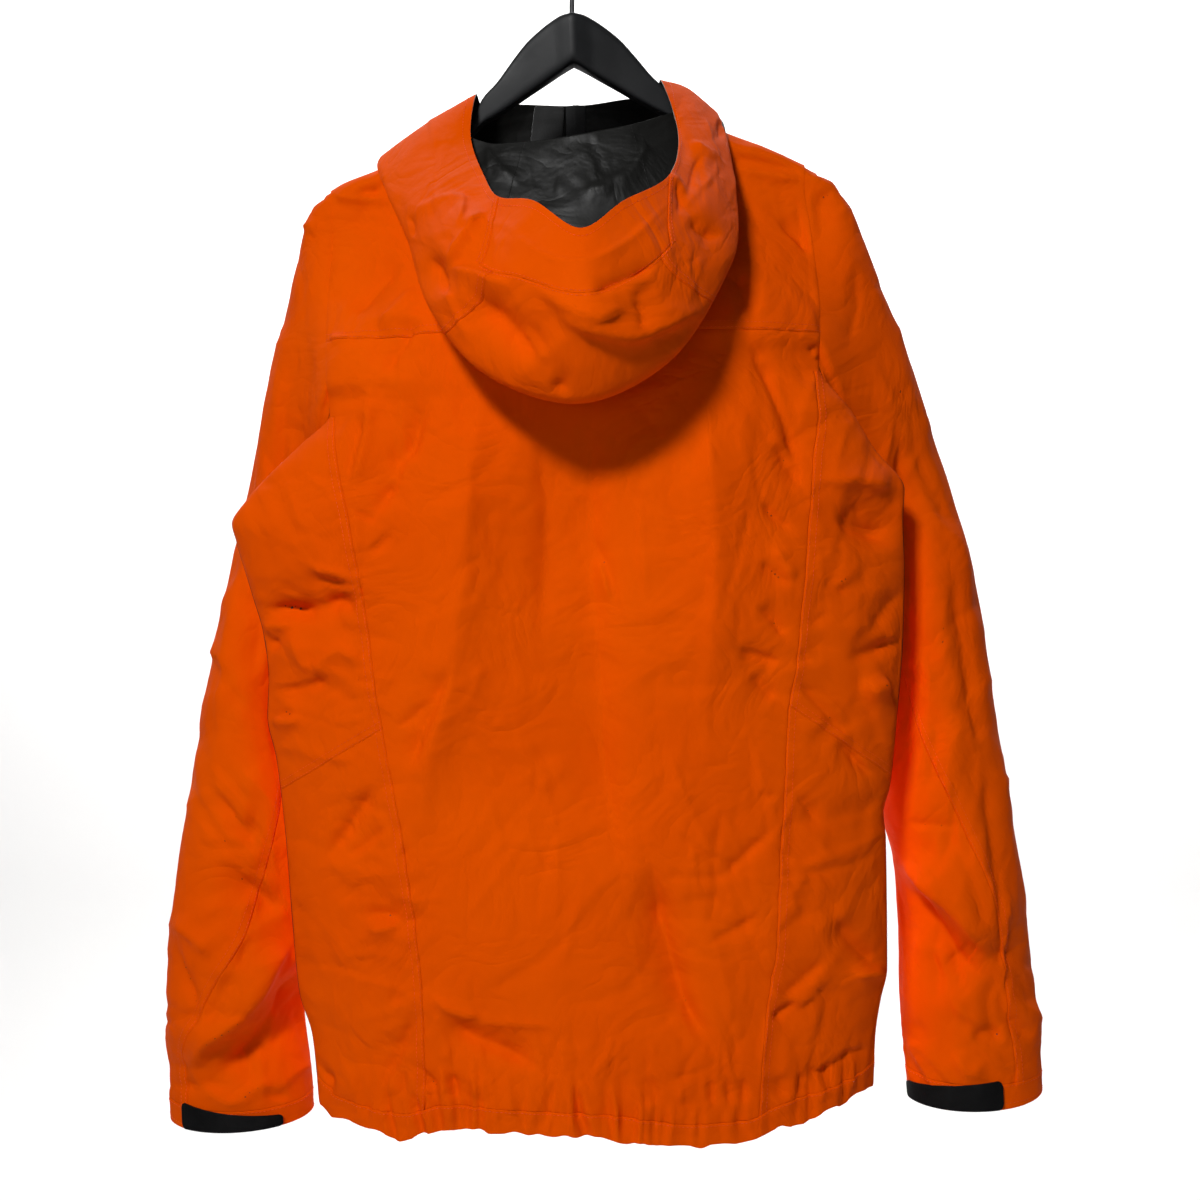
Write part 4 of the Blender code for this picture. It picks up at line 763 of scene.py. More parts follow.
# Creases, read from the photo: height in mm (+ a ridge, - a trough), half width and lean (+ wider below a
# line drawn rightwards), then the line's points in its pixels
backCreases = [
    # left side panel
    (-9, 18, 0.2, 258, 604, 290, 612, 325, 606, 355, 596),
    (6, 9, -0.4, 262, 631, 275, 626, 288, 629),
    (6, 8, 0, 288, 629, 297, 648, 312, 680),
    (6, 8, 0.2, 312, 680, 322, 664, 334, 652, 345, 650, 368, 668),
    (-5, 9, 0, 275, 690, 300, 686, 330, 678),
    (-4, 10, 0, 264, 606, 285, 612, 312, 622),
    (4, 7, 0, 310, 568, 335, 572, 354, 580),
    (-4, 9, 0, 305, 575, 330, 582, 352, 586),
    (-3, 12, 0, 320, 598, 345, 605, 358, 612),
    (-3, 4, 0, 267, 714, 297, 712),
    (3, 8, 0, 270, 722, 300, 722),
    (-4, 8, 0, 270, 636, 274, 644, 279, 650),
    # left of the middle
    (4, 10, 0.2, 372, 382, 368, 430, 352, 490),
    (-2.5, 7, 0, 363, 413, 355, 450, 345, 482),
    (-5, 12, 0, 430, 395, 410, 450, 385, 500, 368, 525),
    (-2, 4, 0, 352, 510, 365, 517, 378, 524),
    (-2.5, 5, 0, 368, 553, 380, 545, 392, 530),
    (3, 8, 0, 383, 490, 400, 470, 415, 450),
    (6, 38, 0.2, 480, 380, 470, 500, 462, 600, 450, 680, 430, 760, 420, 860),
    (-8, 62, 0, 590, 380, 590, 520, 595, 640, 605, 780, 625, 900),
    (-3, 26, 0, 540, 420, 545, 520, 540, 640),
    (-4, 12, 0, 455, 660, 430, 720, 409, 775),
    (-2.5, 5, 0, 398, 727, 412, 718, 430, 702),
    # lower left
    (-4, 11, 0, 377, 783, 350, 820, 323, 862),
    (-2.5, 6, 0, 387, 826, 365, 845, 344, 862),
    (-5, 8, 0, 362, 915, 385, 915, 404, 922),
    (3, 6, 0, 368, 930, 400, 926),
    (4, 8, 0, 430, 995, 455, 1012, 485, 1018),
    (-6, 16, 0, 440, 1010, 465, 1035, 500, 1050, 540, 1070),
    (-5, 9, 0, 418, 1010, 400, 1050, 382, 1089),
    (-2.5, 5, 0, 313, 1056, 333, 1089),
    (-2, 5, 0, 415, 1058, 428, 1076, 440, 1092),
    (-2, 5, 0, 440, 1053, 450, 1075, 456, 1090),
    (1.2, 5, 0, 465, 1026, 510, 1025, 560, 1028),
    (-2.5, 6, 0, 330, 1068, 331, 1098),
    (-2.5, 6, 0, 400, 1070, 404, 1098),
    (2.5, 6, 0, 412, 1070, 414, 1098),
    (-2.5, 6, 0, 453, 1072, 456, 1100),
    (2.5, 6, 0, 474, 1072, 477, 1100),
    # right side panel
    (7, 9, -0.4, 817, 482, 860, 482, 904, 491),
    (-5, 22, 0, 830, 520, 865, 530, 900, 545),
    (-8, 7, 0, 903, 590, 890, 608, 873, 632),
    (4, 4, 0, 868, 633, 884, 636, 904, 632),
    (-7, 8, 0, 845, 662, 865, 655, 885, 648, 902, 640),
    (5, 18, 0, 860, 690, 890, 680),
    (-3, 5, 0, 818, 583, 835, 590, 850, 592),
    (-3, 4, 0, 807, 624, 818, 618, 830, 610),
    (-3, 3, 0, 802, 650, 806, 657, 810, 663),
    (-5, 6, 0, 799, 681, 822, 708, 848, 735),
    (-3, 8, 0, 835, 737, 855, 757, 873, 778),
    # right of the middle
    (-5, 14, 0, 747, 335, 765, 370, 785, 415, 795, 455, 800, 485),
    (-4, 9, 0, 774, 441, 790, 465, 802, 490),
    (-4, 5, 0, 756, 500, 775, 518, 794, 533),
    (3, 6, 0, 770, 545, 785, 570, 793, 583),
    (-3, 5, 0, 757, 560, 775, 575, 792, 584),
    (-3.5, 7, 0, 755, 606, 772, 620, 784, 640),
    (-4, 8, 0, 735, 648, 758, 655, 782, 662),
    (-3, 7, 0, 752, 672, 765, 688, 778, 700),
    (-3, 5, 0, 590, 530, 605, 565, 617, 608),
    (2, 5, 0, 600, 555, 606, 578, 612, 600),
    (5, 40, 0, 705, 380, 710, 480, 712, 600, 705, 720),
    # lower right
    (-8, 22, 0.4, 650, 860, 668, 940, 690, 1010, 712, 1047),
    (-4, 7, 0, 775, 828, 750, 852, 722, 878),
    (-2.5, 6, 0, 765, 912, 735, 930, 703, 945),
    (-5, 7, 0, 830, 958, 800, 985, 778, 1003),
    (-4, 6, 0, 835, 978, 812, 1000, 795, 1015),
    (-4, 10, 0, 772, 1020, 785, 1010, 798, 1000),
    (-5, 12, 0, 835, 915, 858, 945, 885, 970),
    (4, 10, 0, 850, 975, 886, 973),
    (-5, 6, 0, 800, 1062, 820, 1071, 850, 1052, 872, 1048),
    (-3, 5, 0, 793, 797, 805, 805, 817, 822),
    (-2, 4, 0, 760, 793, 777, 797),
    (-2.5, 6, 0, 652, 1075, 654, 1105),
    (2.5, 6, 0, 680, 1078, 681, 1105),
    (-3, 5, 0, 712, 1078, 714, 1106),
    (-3, 5, 0, 727, 1076, 729, 1106),
    (-3, 5, 0, 744, 1076, 746, 1106),
    (-3, 5, 0, 780, 1072, 782, 1102),
    (-3, 5, 0, 800, 1070, 801, 1098),
    (-2.5, 5, 0, 828, 1062, 830, 1092),
    # yoke
    (4, 6, 0, 325, 195, 356, 200, 384, 200, 392, 204),
    (-3, 6, 0, 356, 190, 382, 190),
    (-5, 12, 0, 405, 260, 385, 275, 365, 298, 350, 318),
    (3, 12, 0, 420, 285, 395, 312, 375, 330),
    (3, 4, 0, 327, 338, 345, 337, 356, 336),
    (-4, 4, 0, 412, 318, 420, 311, 432, 314),
    (-6, 12, 0, 419, 315, 394, 357, 382, 378),
    (-4, 6, 0, 722, 155, 761, 162, 810, 173),
    (3, 6, 0, 725, 167, 770, 176, 808, 180),
    (-3, 5, 0, 722, 130, 740, 136, 757, 144),
    (-4, 8, 0, 776, 216, 800, 238, 818, 258),
    (-4, 10, 0, 735, 264, 749, 298, 754, 317),
    (-3, 4, 0, 808, 352, 818, 347, 826, 346),
    (3, 4, 0, 810, 357, 820, 356, 827, 362),
]
# Small creases: how many, the box they lie in, direction and spread in degrees, height, half width, length
backScatter = scattered(17, [
    (26, 400, 400, 520, 700, 112, 22, 1.3, 7, 80),
    (24, 640, 400, 790, 700, 62, 24, 1.6, 7, 80),
    (20, 500, 430, 660, 800, 88, 25, 0.8, 7, 70),
    (30, 440, 760, 760, 1000, 96, 32, 1.5, 8, 90),
    (34, 340, 820, 420, 1040, 130, 30, 1.7, 6, 55),
    (36, 690, 780, 800, 1040, 55, 30, 1.8, 6, 60),
    (30, 265, 560, 375, 760, 20, 32, 2.0, 7, 50),
    (24, 250, 470, 340, 580, 60, 30, 1.5, 7, 60),
    (30, 805, 560, 900, 760, 155, 30, 2.0, 7, 50),
    (24, 820, 430, 900, 560, 120, 30, 1.5, 7, 60),
    (30, 290, 800, 400, 1040, 40, 40, 1.6, 7, 60),
    (30, 785, 800, 885, 1040, 130, 40, 1.8, 7, 60),
    (22, 320, 190, 430, 340, 140, 25, 1.5, 7, 60),
    (22, 700, 130, 830, 340, 50, 25, 1.5, 7, 60),
    (16, 335, 345, 420, 470, 100, 25, 1.6, 7, 70),
    (16, 740, 330, 820, 470, 70, 25, 1.6, 7, 70),
    (60, 330, 1030, 850, 1110, 90, 16, 1.7, 5, 45),
])
hoodScatter = scattered(29, [
    (26, 390, 130, 500, 300, 60, 35, 1.2, 6, 45),
    (24, 660, 110, 750, 300, 120, 35, 1.2, 6, 45),
    (26, 440, 290, 700, 390, 15, 30, 1.1, 7, 60),
])
liningScatter = scattered(31, [
    (16, 480, 140, 665, 200, 10, 45, 1.3, 6, 50),
    (8, 480, 105, 665, 135, 80, 30, 0.9, 6, 40),
])
leftSleeveScatter = scattered(37, [
    (30, 225, 260, 330, 600, 105, 22, 1.5, 8, 80),
    (34, 175, 600, 290, 900, 100, 30, 1.7, 8, 80),
    (30, 170, 880, 310, 1090, 130, 30, 2.0, 8, 60),
])
rightSleeveScatter = scattered(43, [
    (30, 830, 260, 960, 600, 75, 22, 1.5, 8, 80),
    (34, 890, 600, 1010, 900, 80, 30, 1.7, 8, 80),
    (30, 890, 880, 1040, 1080, 50, 30, 2.0, 8, 60),
])
leftSleeveCreases = [
    (-5, 7, 0, 320, 206, 326, 220, 322, 235),
    (3, 4, 0, 302, 228, 312, 224, 320, 226),
    (-3, 5, 0, 305, 234, 318, 240),
    (-3, 5, 0, 236, 608, 248, 600),
    (-4, 9, 0, 211, 788, 232, 815, 257, 844),
    (-3, 4, 0, 247, 824, 256, 830, 262, 831),
    (-1, 3, 0, 188, 845, 257, 845),
    (-6, 16, 0, 224, 867, 255, 890, 287, 913),
    (4, 9, 0, 173, 926, 195, 935, 215, 955),
    (-3, 8, 0, 178, 940, 190, 975, 203, 1010),
    (14, 28, 0.72, 293, 939, 272, 964, 257, 995, 236, 1023, 211, 1043, 191, 1076),
    (-9, 20, -0.5, 303, 960, 288, 990, 270, 1022, 248, 1050, 212, 1078),
    (5, 7, 0, 191, 1076, 210, 1090, 234, 1102, 262, 1084, 285, 1085),
    (-3, 5, 0, 262, 1095, 290, 1098),
    (-13, 30, -0.2, 290, 380, 272, 470, 262, 560, 268, 640, 276, 720, 288, 820),
    (3, 14, 0, 235, 560, 225, 660, 214, 760),
]
rightSleeveCreases = [
    (-6, 9, 0, 812, 190, 818, 215, 812, 240),
    (-14, 32, 0.2, 890, 380, 908, 470, 914, 560, 908, 640, 902, 720, 896, 800),
    (3, 4, 0, 805, 183, 819, 177, 834, 187, 841, 188),
    (-3, 4, 0, 819, 201, 834, 189),
    (4, 4, 0, 820, 206, 835, 213, 849, 207),
    (-4, 5, 0, 895, 395, 905, 392, 914, 389),
    (-7, 12, 0.3, 919, 426, 945, 490, 965, 541),
    (4, 8, 0, 935, 420, 960, 490, 978, 540),
    (4, 4, 0, 904, 666, 914, 663, 925, 668, 935, 689),
    (-3, 6, 0, 905, 676, 915, 675, 925, 685),
    (-3, 4, 0, 914, 722, 920, 712, 924, 707),
    (-2, 4, 0, 937, 650, 950, 638),
    (-6, 14, 0, 955, 560, 972, 650, 982, 760),
    (-7, 9, 0, 985, 760, 993, 860, 999, 960),
    (4, 4, 0, 1004, 867, 1005, 930, 1004, 1000),
    (-3, 4, 0, 902, 823, 930, 826, 959, 827),
    (12, 24, -0.7, 900, 856, 925, 883, 951, 910, 975, 942, 996, 966),
    (-8, 16, 0.5, 903, 884, 928, 910, 956, 950, 988, 980),
    (6, 8, 0, 953, 1049, 967, 1073, 988, 1065),
    (-5, 8, 0, 969, 1042, 988, 1030, 1007, 1040),
]
hoodCreases = [
    (9, 12, -0.6, 447, 270, 460, 246, 471, 229, 489, 211),
    (6, 10, 0.6, 449, 268, 470, 271, 505, 283),
    (-6, 4, 0, 454, 235, 453, 259),
    (-6, 4, 0, 455, 250, 472, 225),
    (4, 4, 0, 404, 218, 428, 204, 448, 196, 462, 196, 465, 206, 462, 223, 455, 238),
    (-3, 4, 0, 404, 216, 411, 223, 411, 240),
    (-5, 10, 0, 428, 254, 440, 275, 450, 298),
    (3, 4, 0, 449, 268, 450, 298, 460, 322, 470, 347),
    (-11, 22, -0.3, 470, 285, 485, 310, 510, 335, 545, 365),
    (3, 6, 0, 513, 327, 530, 344, 550, 361),
    (4, 10, 0, 537, 291, 574, 310, 598, 315, 627, 305),
    (1.2, 5, 0, 501, 218, 530, 245, 564, 260, 598, 257, 634, 235, 671, 199),
    (-5, 6, 0, 663, 259, 647, 269, 610, 286, 591, 298),
    (-3, 5, 0, 656, 284, 632, 298),
    (9, 14, -0.6, 550, 308, 575, 324, 605, 334, 634, 336, 665, 325, 705, 310),
    (-3, 5, 0, 632, 298, 640, 315, 634, 334),
    (4, 4, 0, 705, 115, 712, 140, 722, 165),
    (4, 4, 0, 690, 140, 708, 152, 720, 160),
    (-4, 4, 0, 717, 120, 720, 130, 721, 138),
    (4, 4, 0, 671, 172, 680, 184, 688, 194),
    (-6, 5, 0, 675, 180, 680, 200, 678, 216),
    (-2, 4, 0, 688, 194, 695, 165, 705, 155),
    (-4, 8, 0, 690, 215, 705, 230, 724, 236),
    (-3, 8, 0, 550, 384, 560, 388, 569, 391),
]
liningCreases = [  # seen from inside, so a ridge towards the camera is a negative height
    (-6, 6, 0, 651, 116, 642, 150, 622, 177, 574, 196),
    (-4, 5, 0, 579, 194, 613, 189),
    (5, 10, 0, 530, 180, 545, 176, 559, 174),
    (5, 9, 0, 640, 128, 646, 138, 650, 148),
    (-3, 7, 0, 489, 150, 500, 168, 522, 184),
    (3, 8, 0, 590, 150, 600, 165, 605, 178),
    (-1.2, 4, 0, 489, 145, 491, 177),
    (-1.2, 4, 0, 553, 206, 590, 204, 630, 199),
]


def level(heights):
    return lambda share: np.interp(share, [0, 1, 2, 3], heights)


# The drawcord's gathers, strongest at the channel's seam
def hemGathers(u, v, row, tall, reach, seed):
    away = v - v[[row]]
    slant = u + away * 0.35 * softNoise(u / 30, away / 90, seed + 3)
    waves = 1.1 - 2.6 * np.abs(softNoise(slant / 8, away / 60 + 3, seed))
    waves = waves + 0.5 * softNoise(slant / 3.6, away / 40 + 8, seed + 1)
    waves *= 0.35 + 0.95 * ease(softNoise(u / 37, u * 0 + 4, seed + 2) * 0.8 + 0.5)
    above = np.exp(-((np.abs(away) / reach) ** 1.2))
    return tall * waves * np.where(away < 0, above, 1.0) * ease(away / reach + 1.6)


backSheet = {"step": 2.42, "widths": (78, 305, 72), "top": -170, "hem": -890, "gain": 2.1, "widen": 1.15}
backSheet |= {"crumple": 0.9, "quiet": (0.55, 0.45), "quietBelow": -330, "quietOver": 60, "sideFade": 9}
backSheet |= {"topFade": 12, "gathers": (2.2, 26, 31), "gathersOver": 40, "unevenOver": 17, "stitches": (1.6, 6.2)}


def makeBack():
    s = backSheet
    stops = [edge["left", "x"], princess["left"], princess["right"], edge["right", "x"]]
    shares = spread(s["widths"], s["step"])
    levels = [
        lambda share: heightAt(share, stops, topLine["back", "z"], s["top"]),
        level(seamAt["yoke"]),
        level(seamAt["wing"]),
        level(seamAt["slanting"]),
        lambda share: heightAt(share, stops, hemLine["back"], s["hem"]) + hemHeight,
        lambda share: heightAt(share, stops, hemLine["back"], s["hem"]),
    ]
    plain, places = bodyGrid("back", stops, shares, levels, s["step"])
    yoke, wing, slanting, hem = (nearest(places, k) for k in (1, 2, 3, 4))
    left, right, last = nearest(shares, 1), nearest(shares, 2), plain.shape[1] - 3
    u, v = arcs(plain)
    normal = frameOf(plain)[2]
    pictureU, pictureV = onPicture(plain)
    push = creases(pictureU, pictureV, backCreases, s["gain"], s["widen"])
    push = push + creases(pictureU, pictureV, backScatter)
    quiet = s["quiet"][0] + s["quiet"][1] * ease((s["quietBelow"] - plain[..., 2]) / s["quietOver"])
    push += crumple(u, v, 4, s["crumple"]) * quiet
    push += hemGathers(u, v, hem, *s["gathers"]) * ease((v - v[[slanting]]) / s["gathersOver"])
    # seams: the flat fell lies on the side panels, the yoke lies on the back
    below = np.arange(plain.shape[0])[:, None] >= wing
    for column, outward, seed in ((left, -1, 51), (right, 1, 52)):
        push += np.where(below, atSeam((u - u[:, [column]]) * outward, v, seed), 0)
    push += atSeam(v[[yoke]] - v, u, 53, pucker=0.35)
    for columns in (slice(0, left + 1), slice(right, None)):
        away = v[[slanting], columns] - v[:, columns]
        push[:, columns] += atSeam(away, u[:, columns], 54, groove=0.1, lap=0.12)
    push += atSeam(v - v[[hem]], u, 55, groove=0.15, lap=0.35, pucker=1.1)
    fade = ease(np.minimum(u - u[:, [0]], u[:, [-1]] - u) / s["sideFade"]) * ease(v / s["topFade"])
    points = plain + normal * (push * fade)[..., None]
    # the hem's edge runs unevenly
    uneven = softNoise(u / 9, v * 0 + 2, 61) * 2.0 + softNoise(u / 24, v * 0 + 7, 62) * 1.5
    points[..., 2] += ease((v - v[[hem]]) / s["unevenOver"]) * uneven
    r, c = np.indices((plain.shape[0] - 1, plain.shape[1] - 1))
    upper, lower = (r >= wing) & (r < slanting), (r >= slanting) & (r < hem)
    middle = (c >= left) & (c < right)
    cut = {
        "back_yoke": (r < yoke, ["hanger"]),
        "back_panel": ((r >= yoke) & (r < hem) & (middle | (r < wing)), ["back_yoke_cloth"]),
        "side_upper_left": ((c < left) & upper, ["back_panel_cloth"]),
        "side_upper_right": ((c >= right) & upper, ["back_panel_cloth"]),
        "side_lower_left": ((c < left) & lower, ["side_upper_left_cloth"]),
        "side_lower_right": ((c >= right) & lower, ["side_upper_right_cloth"]),
        "hem_back": (r >= hem, ["back_panel_cloth"]),
    }
    for name, (cells, rests) in cut.items():
        flat = (plain, "hung", rests)
        wall(name, "orange_shell", points, cells, "orange", "lining", flat=flat, uv=(u, v))
    for column, outward in ((left, -1), (right, 1)):
        for away in s["stitches"]:
            stitchColumn(points, u, column, away * outward, wing + 2, hem - 1)
    for away in s["stitches"]:
        stitchRow(points, v, yoke, -away, 2, last)
    stitchRow(points, v, hem, 1.8, 2, last)
    for first, end in ((2, left - 2), (right + 2, last)):
        for away in s["stitches"]:
            stitchRow(points, v, slanting, -away, first, end)


frontSheet = {"step": 5.0, "widths": (215, 225), "top": -190, "hem": -885, "gain": 0.8, "widen": 2.2}
frontSheet |= {"mirror": 1135, "lower": 12, "crumple": 0.7, "gathers": (1.3, 26, 83), "sideFade": 14}
frontSheet |= {"topFade": 12, "zipFade": 26, "zipFold": (0.7, 7, 2), "stitches": (1.6, 7.0)}


def makeFront():
    s = frontSheet
    zipEdges = [lambda z: z * 0 + zipX - zipHalf, lambda z: z * 0 + zipX + zipHalf]
    stops = [edge["left", "x"], *zipEdges, edge["right", "x"]]
    runs = [steps(width, s["step"]) for width in s["widths"]]
    shares = np.concatenate([runs[0][:-1], [1, 1.5], 2 + runs[1]])
    levels = [
        lambda share: heightAt(share, stops, topLine["front", "z"], s["top"]),
        level(seamAt["wing"]),
        level(seamAt["underarm"]),
        lambda share: heightAt(share, stops, hemLine["front"], s["hem"]) + hemHeight,
        lambda share: heightAt(share, stops, hemLine["front"], s["hem"]),
    ]
    plain, places = bodyGrid("front", stops, shares, levels, s["step"])
    plain = plain[:, ::-1]  # columns run from right to left, so that the front faces +Y
    hem, count = nearest(places, 3), len(shares)
    first, last = (count - 1 - nearest(shares, k) for k in (2, 1))
    u, v = arcs(plain)
    normal = frameOf(plain)[2]
    pictureU, pictureV = onPicture(plain)
    mirrored = (s["mirror"] - pictureU, pictureV + s["lower"])
    push = creases(*mirrored, backCreases, s["gain"], s["widen"]) + crumple(u, v, 80, s["crumple"])
    push += hemGathers(u, v, hem, *s["gathers"])
    push += atSeam(v - v[[hem]], u, 84, lap=0.7)
    nearZip = np.minimum(np.abs(u - u[:, [first]]), np.abs(u - u[:, [last]]))
    push *= ease(np.minimum(u - u[:, [0]], u[:, [-1]] - u) / s["sideFade"])
    push *= ease(v / s["topFade"]) * ease(nearZip / s["zipFade"])
    inner = (np.arange(count) >= first) & (np.arange(count) <= last)
    push = np.where(inner[None], 0, push)
    tall, near, over = s["zipFold"]
    push += np.where(inner[None], 0, tall * ease((near - nearZip) / over))
    points = plain + normal * push[..., None]
    r, c = np.indices((plain.shape[0] - 1, count - 1))
    for side, chosen in (("right", c < first), ("left", c >= last)):
        parts = {
            f"front_{side}": (r < hem, ["hanger"]),
            f"hem_front_{side}": (r >= hem, [f"front_{side}_cloth"]),
        }
        for name, (cells, rests) in parts.items():
            flat = (plain, "hung", rests)
            wall(name, "orange_shell", points, chosen & cells, "orange", "lining", flat=flat, uv=(u, v))
    for column, outward in ((first, -1), (last, 1)):
        for away in s["stitches"]:
            stitchColumn(points, u, column, away * outward, 2, hem - 1)
    for low, high in ((2, first - 2), (last + 2, count - 3)):
        stitchRow(points, v, hem, 1.8, low, high)
    return points[:, first : last + 1]


def openPlaces(curve, low, high, step):  # places at even distances on a surface, closer at both ends
    fine = np.linspace(low, high, 97)
    points = curve(fine)
    gone = np.linalg.norm(np.diff(points, axis=0), axis=-1).mean(axis=-1)
    gone = np.concatenate([[0], np.cumsum(gone)])
    return np.interp(steps(gone[-1], step) * gone[-1], gone, fine)


def throughBreaks(curve, breaks, step):
    runs = [openPlaces(curve, low, high, step)[:-1] for low, high in zip(breaks[:-1], breaks[1:])]
    return np.concatenate(runs + [[breaks[-1]]])


# Stations of the hood's and the collar's seams, and loops of the brim's seam, the fold and the neck seam
hoodAt = {"collarLeft": 2.3, "brimLeft": 6.0, "crownLeft": 6.35, "crownRight": 9.75, "brimRight": 10.0}
hoodAt |= {"collarRight": 12.8, "first": 0.17, "last": 14.83, "brim": 0.92, "fold": 2, "neck": 4}
hoodSheet = {"step": 2.45, "gain": 2.1, "widen": 1.15, "liningGain": 1.1, "liningCap": 0.8, "stitches": (1.6, 5.8)}
hoodSheet |= {"tuckDown": 12, "tuckIn": 3, "tuckFrom": 3, "tuckOver": 14}


def makeHood():
    s, at = hoodSheet, hoodAt
    loopSamples, stationSamples = np.linspace(0.1, 3.9, 25), np.linspace(3, 12, 31)
    stationBreaks = (at["first"], at["collarLeft"], at["brimLeft"], at["crownLeft"])
    stationBreaks += (at["crownRight"], at["brimRight"], at["collarRight"], at["last"])
    loopBreaks = (0, at["brim"], at["fold"], at["neck"])

    def alongStations(places):
        return hoodPoint(*np.meshgrid(places, loopSamples, indexing="ij"))

    def alongLoops(places):
        loop, station = np.meshgrid(places, stationSamples, indexing="ij")
        return hoodPoint(station, loop)

    stations = throughBreaks(alongStations, stationBreaks, s["step"])
    loops = throughBreaks(alongLoops, loopBreaks, s["step"])
    station, loop = np.meshgrid(stations, loops)
    plain = hoodPoint(station, loop)
    # where the neck seam is tucked into the fronts
    atFront = ease((plain[..., 1] - s["tuckFrom"]) / s["tuckOver"])
    plain[..., 2] -= s["tuckDown"] * ease((loop - 3.5) / 0.5) * atFront
    plain[..., 1] -= s["tuckIn"] * ease((loop - 3.6) / 0.4) * atFront
    plain[:, 0, 0], plain[:, -1, 0] = zipX - zipHalf, zipX + zipHalf
    column = {place: nearest(stations, place) for place in stationBreaks}
    brimRow, foldRow = nearest(loops, at["brim"]), nearest(loops, at["fold"])
    u, v = arcs(plain)
    normal = frameOf(plain)[2]
    pictureU, pictureV = onPicture(plain)
    facing = ease((-normal[..., 1] + 0.1) / 0.4) * ease((2.08 - loop) / 0.1)
    push = creases(pictureU, pictureV, hoodCreases, s["gain"], s["widen"])
    push = (push + creases(pictureU, pictureV, hoodScatter)) * facing
    push += crumple(u, v, 120, 0.5) * (0.35 + 0.65 * ease(loop / 0.3)) * ease((3.9 - loop) / 0.5)
    # a seam's station, the side its lap lies on, and the loops and rows that it runs through
    aboveBrim, belowBrim = (-1, at["brim"], 2, brimRow - 1), (at["brim"], 9, brimRow + 1, foldRow)
    seams = [("brimLeft", -1, *aboveBrim), ("crownLeft", -1, *belowBrim)]
    seams += [("crownRight", 1, *belowBrim), ("brimRight", 1, *aboveBrim)]
    for name, outward, low, high, _, _ in seams:
        away = (u - u[:, [column[at[name]]]]) * outward
        seam = atSeam(away, v, int(at[name] * 10), lap=0.4, pucker=0.3)
        push += np.where((loop > low) & (loop <= high), seam, 0)
    across = (station >= at["brimLeft"]) & (station <= at["brimRight"])
    push += np.where(across, atSeam(v - v[[brimRow]], u, 131, groove=0.12, lap=0.15, pucker=0.3), 0)
    for name, outward in (("collarLeft", 1), ("collarRight", -1)):
        push += atSeam((u - u[:, [column[at[name]]]]) * outward, v, 140, lap=0.3, pucker=0.2)
    tight = 1 - 0.8 * np.exp(-(((loop - 2) / 0.12) ** 2))
    fade = ease(v / 3) * ease((v[[-1]] - v) / 14) * ease(np.minimum(u - u[:, [0]], u[:, [-1]] - u) / 10)
    tucked = 1 - 0.75 * ease((loop - 2.1) / 0.2) * ease((station - 2) / 1) * ease((13 - station) / 1)
    push = push * fade * tight * tucked
    inside = ease((normal[..., 1] - 0.05) / 0.3) * ease(np.abs(loop - 1.9) - 0.8)
    inside = inside * ease(v / 10) * ease((v[[-1]] - v) / 8)
    folds = creases(pictureU, pictureV, liningCreases, s["liningGain"])
    folds = folds + creases(pictureU, pictureV, liningScatter)
    push += folds.clip(None, s["liningCap"]) * inside
    points = plain + normal * push[..., None]
    r, c = np.indices((len(loops) - 1, len(stations) - 1))
    start, brimRows = stations[c], r < brimRow
    brim = brimRows & (start >= at["brimLeft"]) & (start < at["brimRight"])
    crown = ~brimRows & (start >= at["crownLeft"]) & (start < at["crownRight"])
    collarLeft, collarRight = start < at["collarLeft"], start >= at["collarRight"]
    sides = ~(brim | crown | collarLeft | collarRight)
    cut = {
        "hood_brim": (brim, "folded", ["hood_crown_cloth"]),
        "hood_crown": (crown, "folded", ["back_yoke_cloth"]),
        "hood_side_left": (sides & (start < 8), "folded", ["back_yoke_cloth"]),
        "hood_side_right": (sides & (start > 8), "folded", ["back_yoke_cloth"]),
        "collar_left": (collarLeft, "hung", ["front_left_cloth"]),
        "collar_right": (collarRight, "hung", ["front_right_cloth"]),
    }
    for name, (cells, held, rests) in cut.items():
        flat = (plain, held, rests)
        wall(name, "orange_shell", points, cells, "orange", "lining", flat=flat, uv=(u, v), topEdge="piping")
    for name, outward, _, _, low, high in seams:
        for away in s["stitches"]:
            stitchColumn(points, u, column[at[name]], away * outward, low, high)
    for away in (1.6, -1.8):
        stitchRow(points, v, brimRow, away, column[at["brimLeft"]] + 1, column[at["brimRight"]] - 1)
    stitchRow(points, v, 0, 7.0, column[at["collarLeft"]], column[at["collarRight"]])
    return points


# The underarm box is where a sleeve's first rows double back. The turned-in edge lies behind the body's edge
sleeveTube = {"step": 2.95, "widths": (175, 150), "gain": 1.9, "widen": 1.15, "farGain": 0.8, "farShift": (6, 30)}
sleeveTube |= {"crumple": 0.8, "clear": 3.5, "clearOver": 0.6, "stitches": (1.6, 6.2), "turnSamples": 25}
underarm = {"tall": 20, "rows": 9, "behind": -25, "facing": 0.1}
turnedIn = {"wide": 10, "deepest": 4, "drop": 3, "dropFrom": 60, "dropOver": 40}


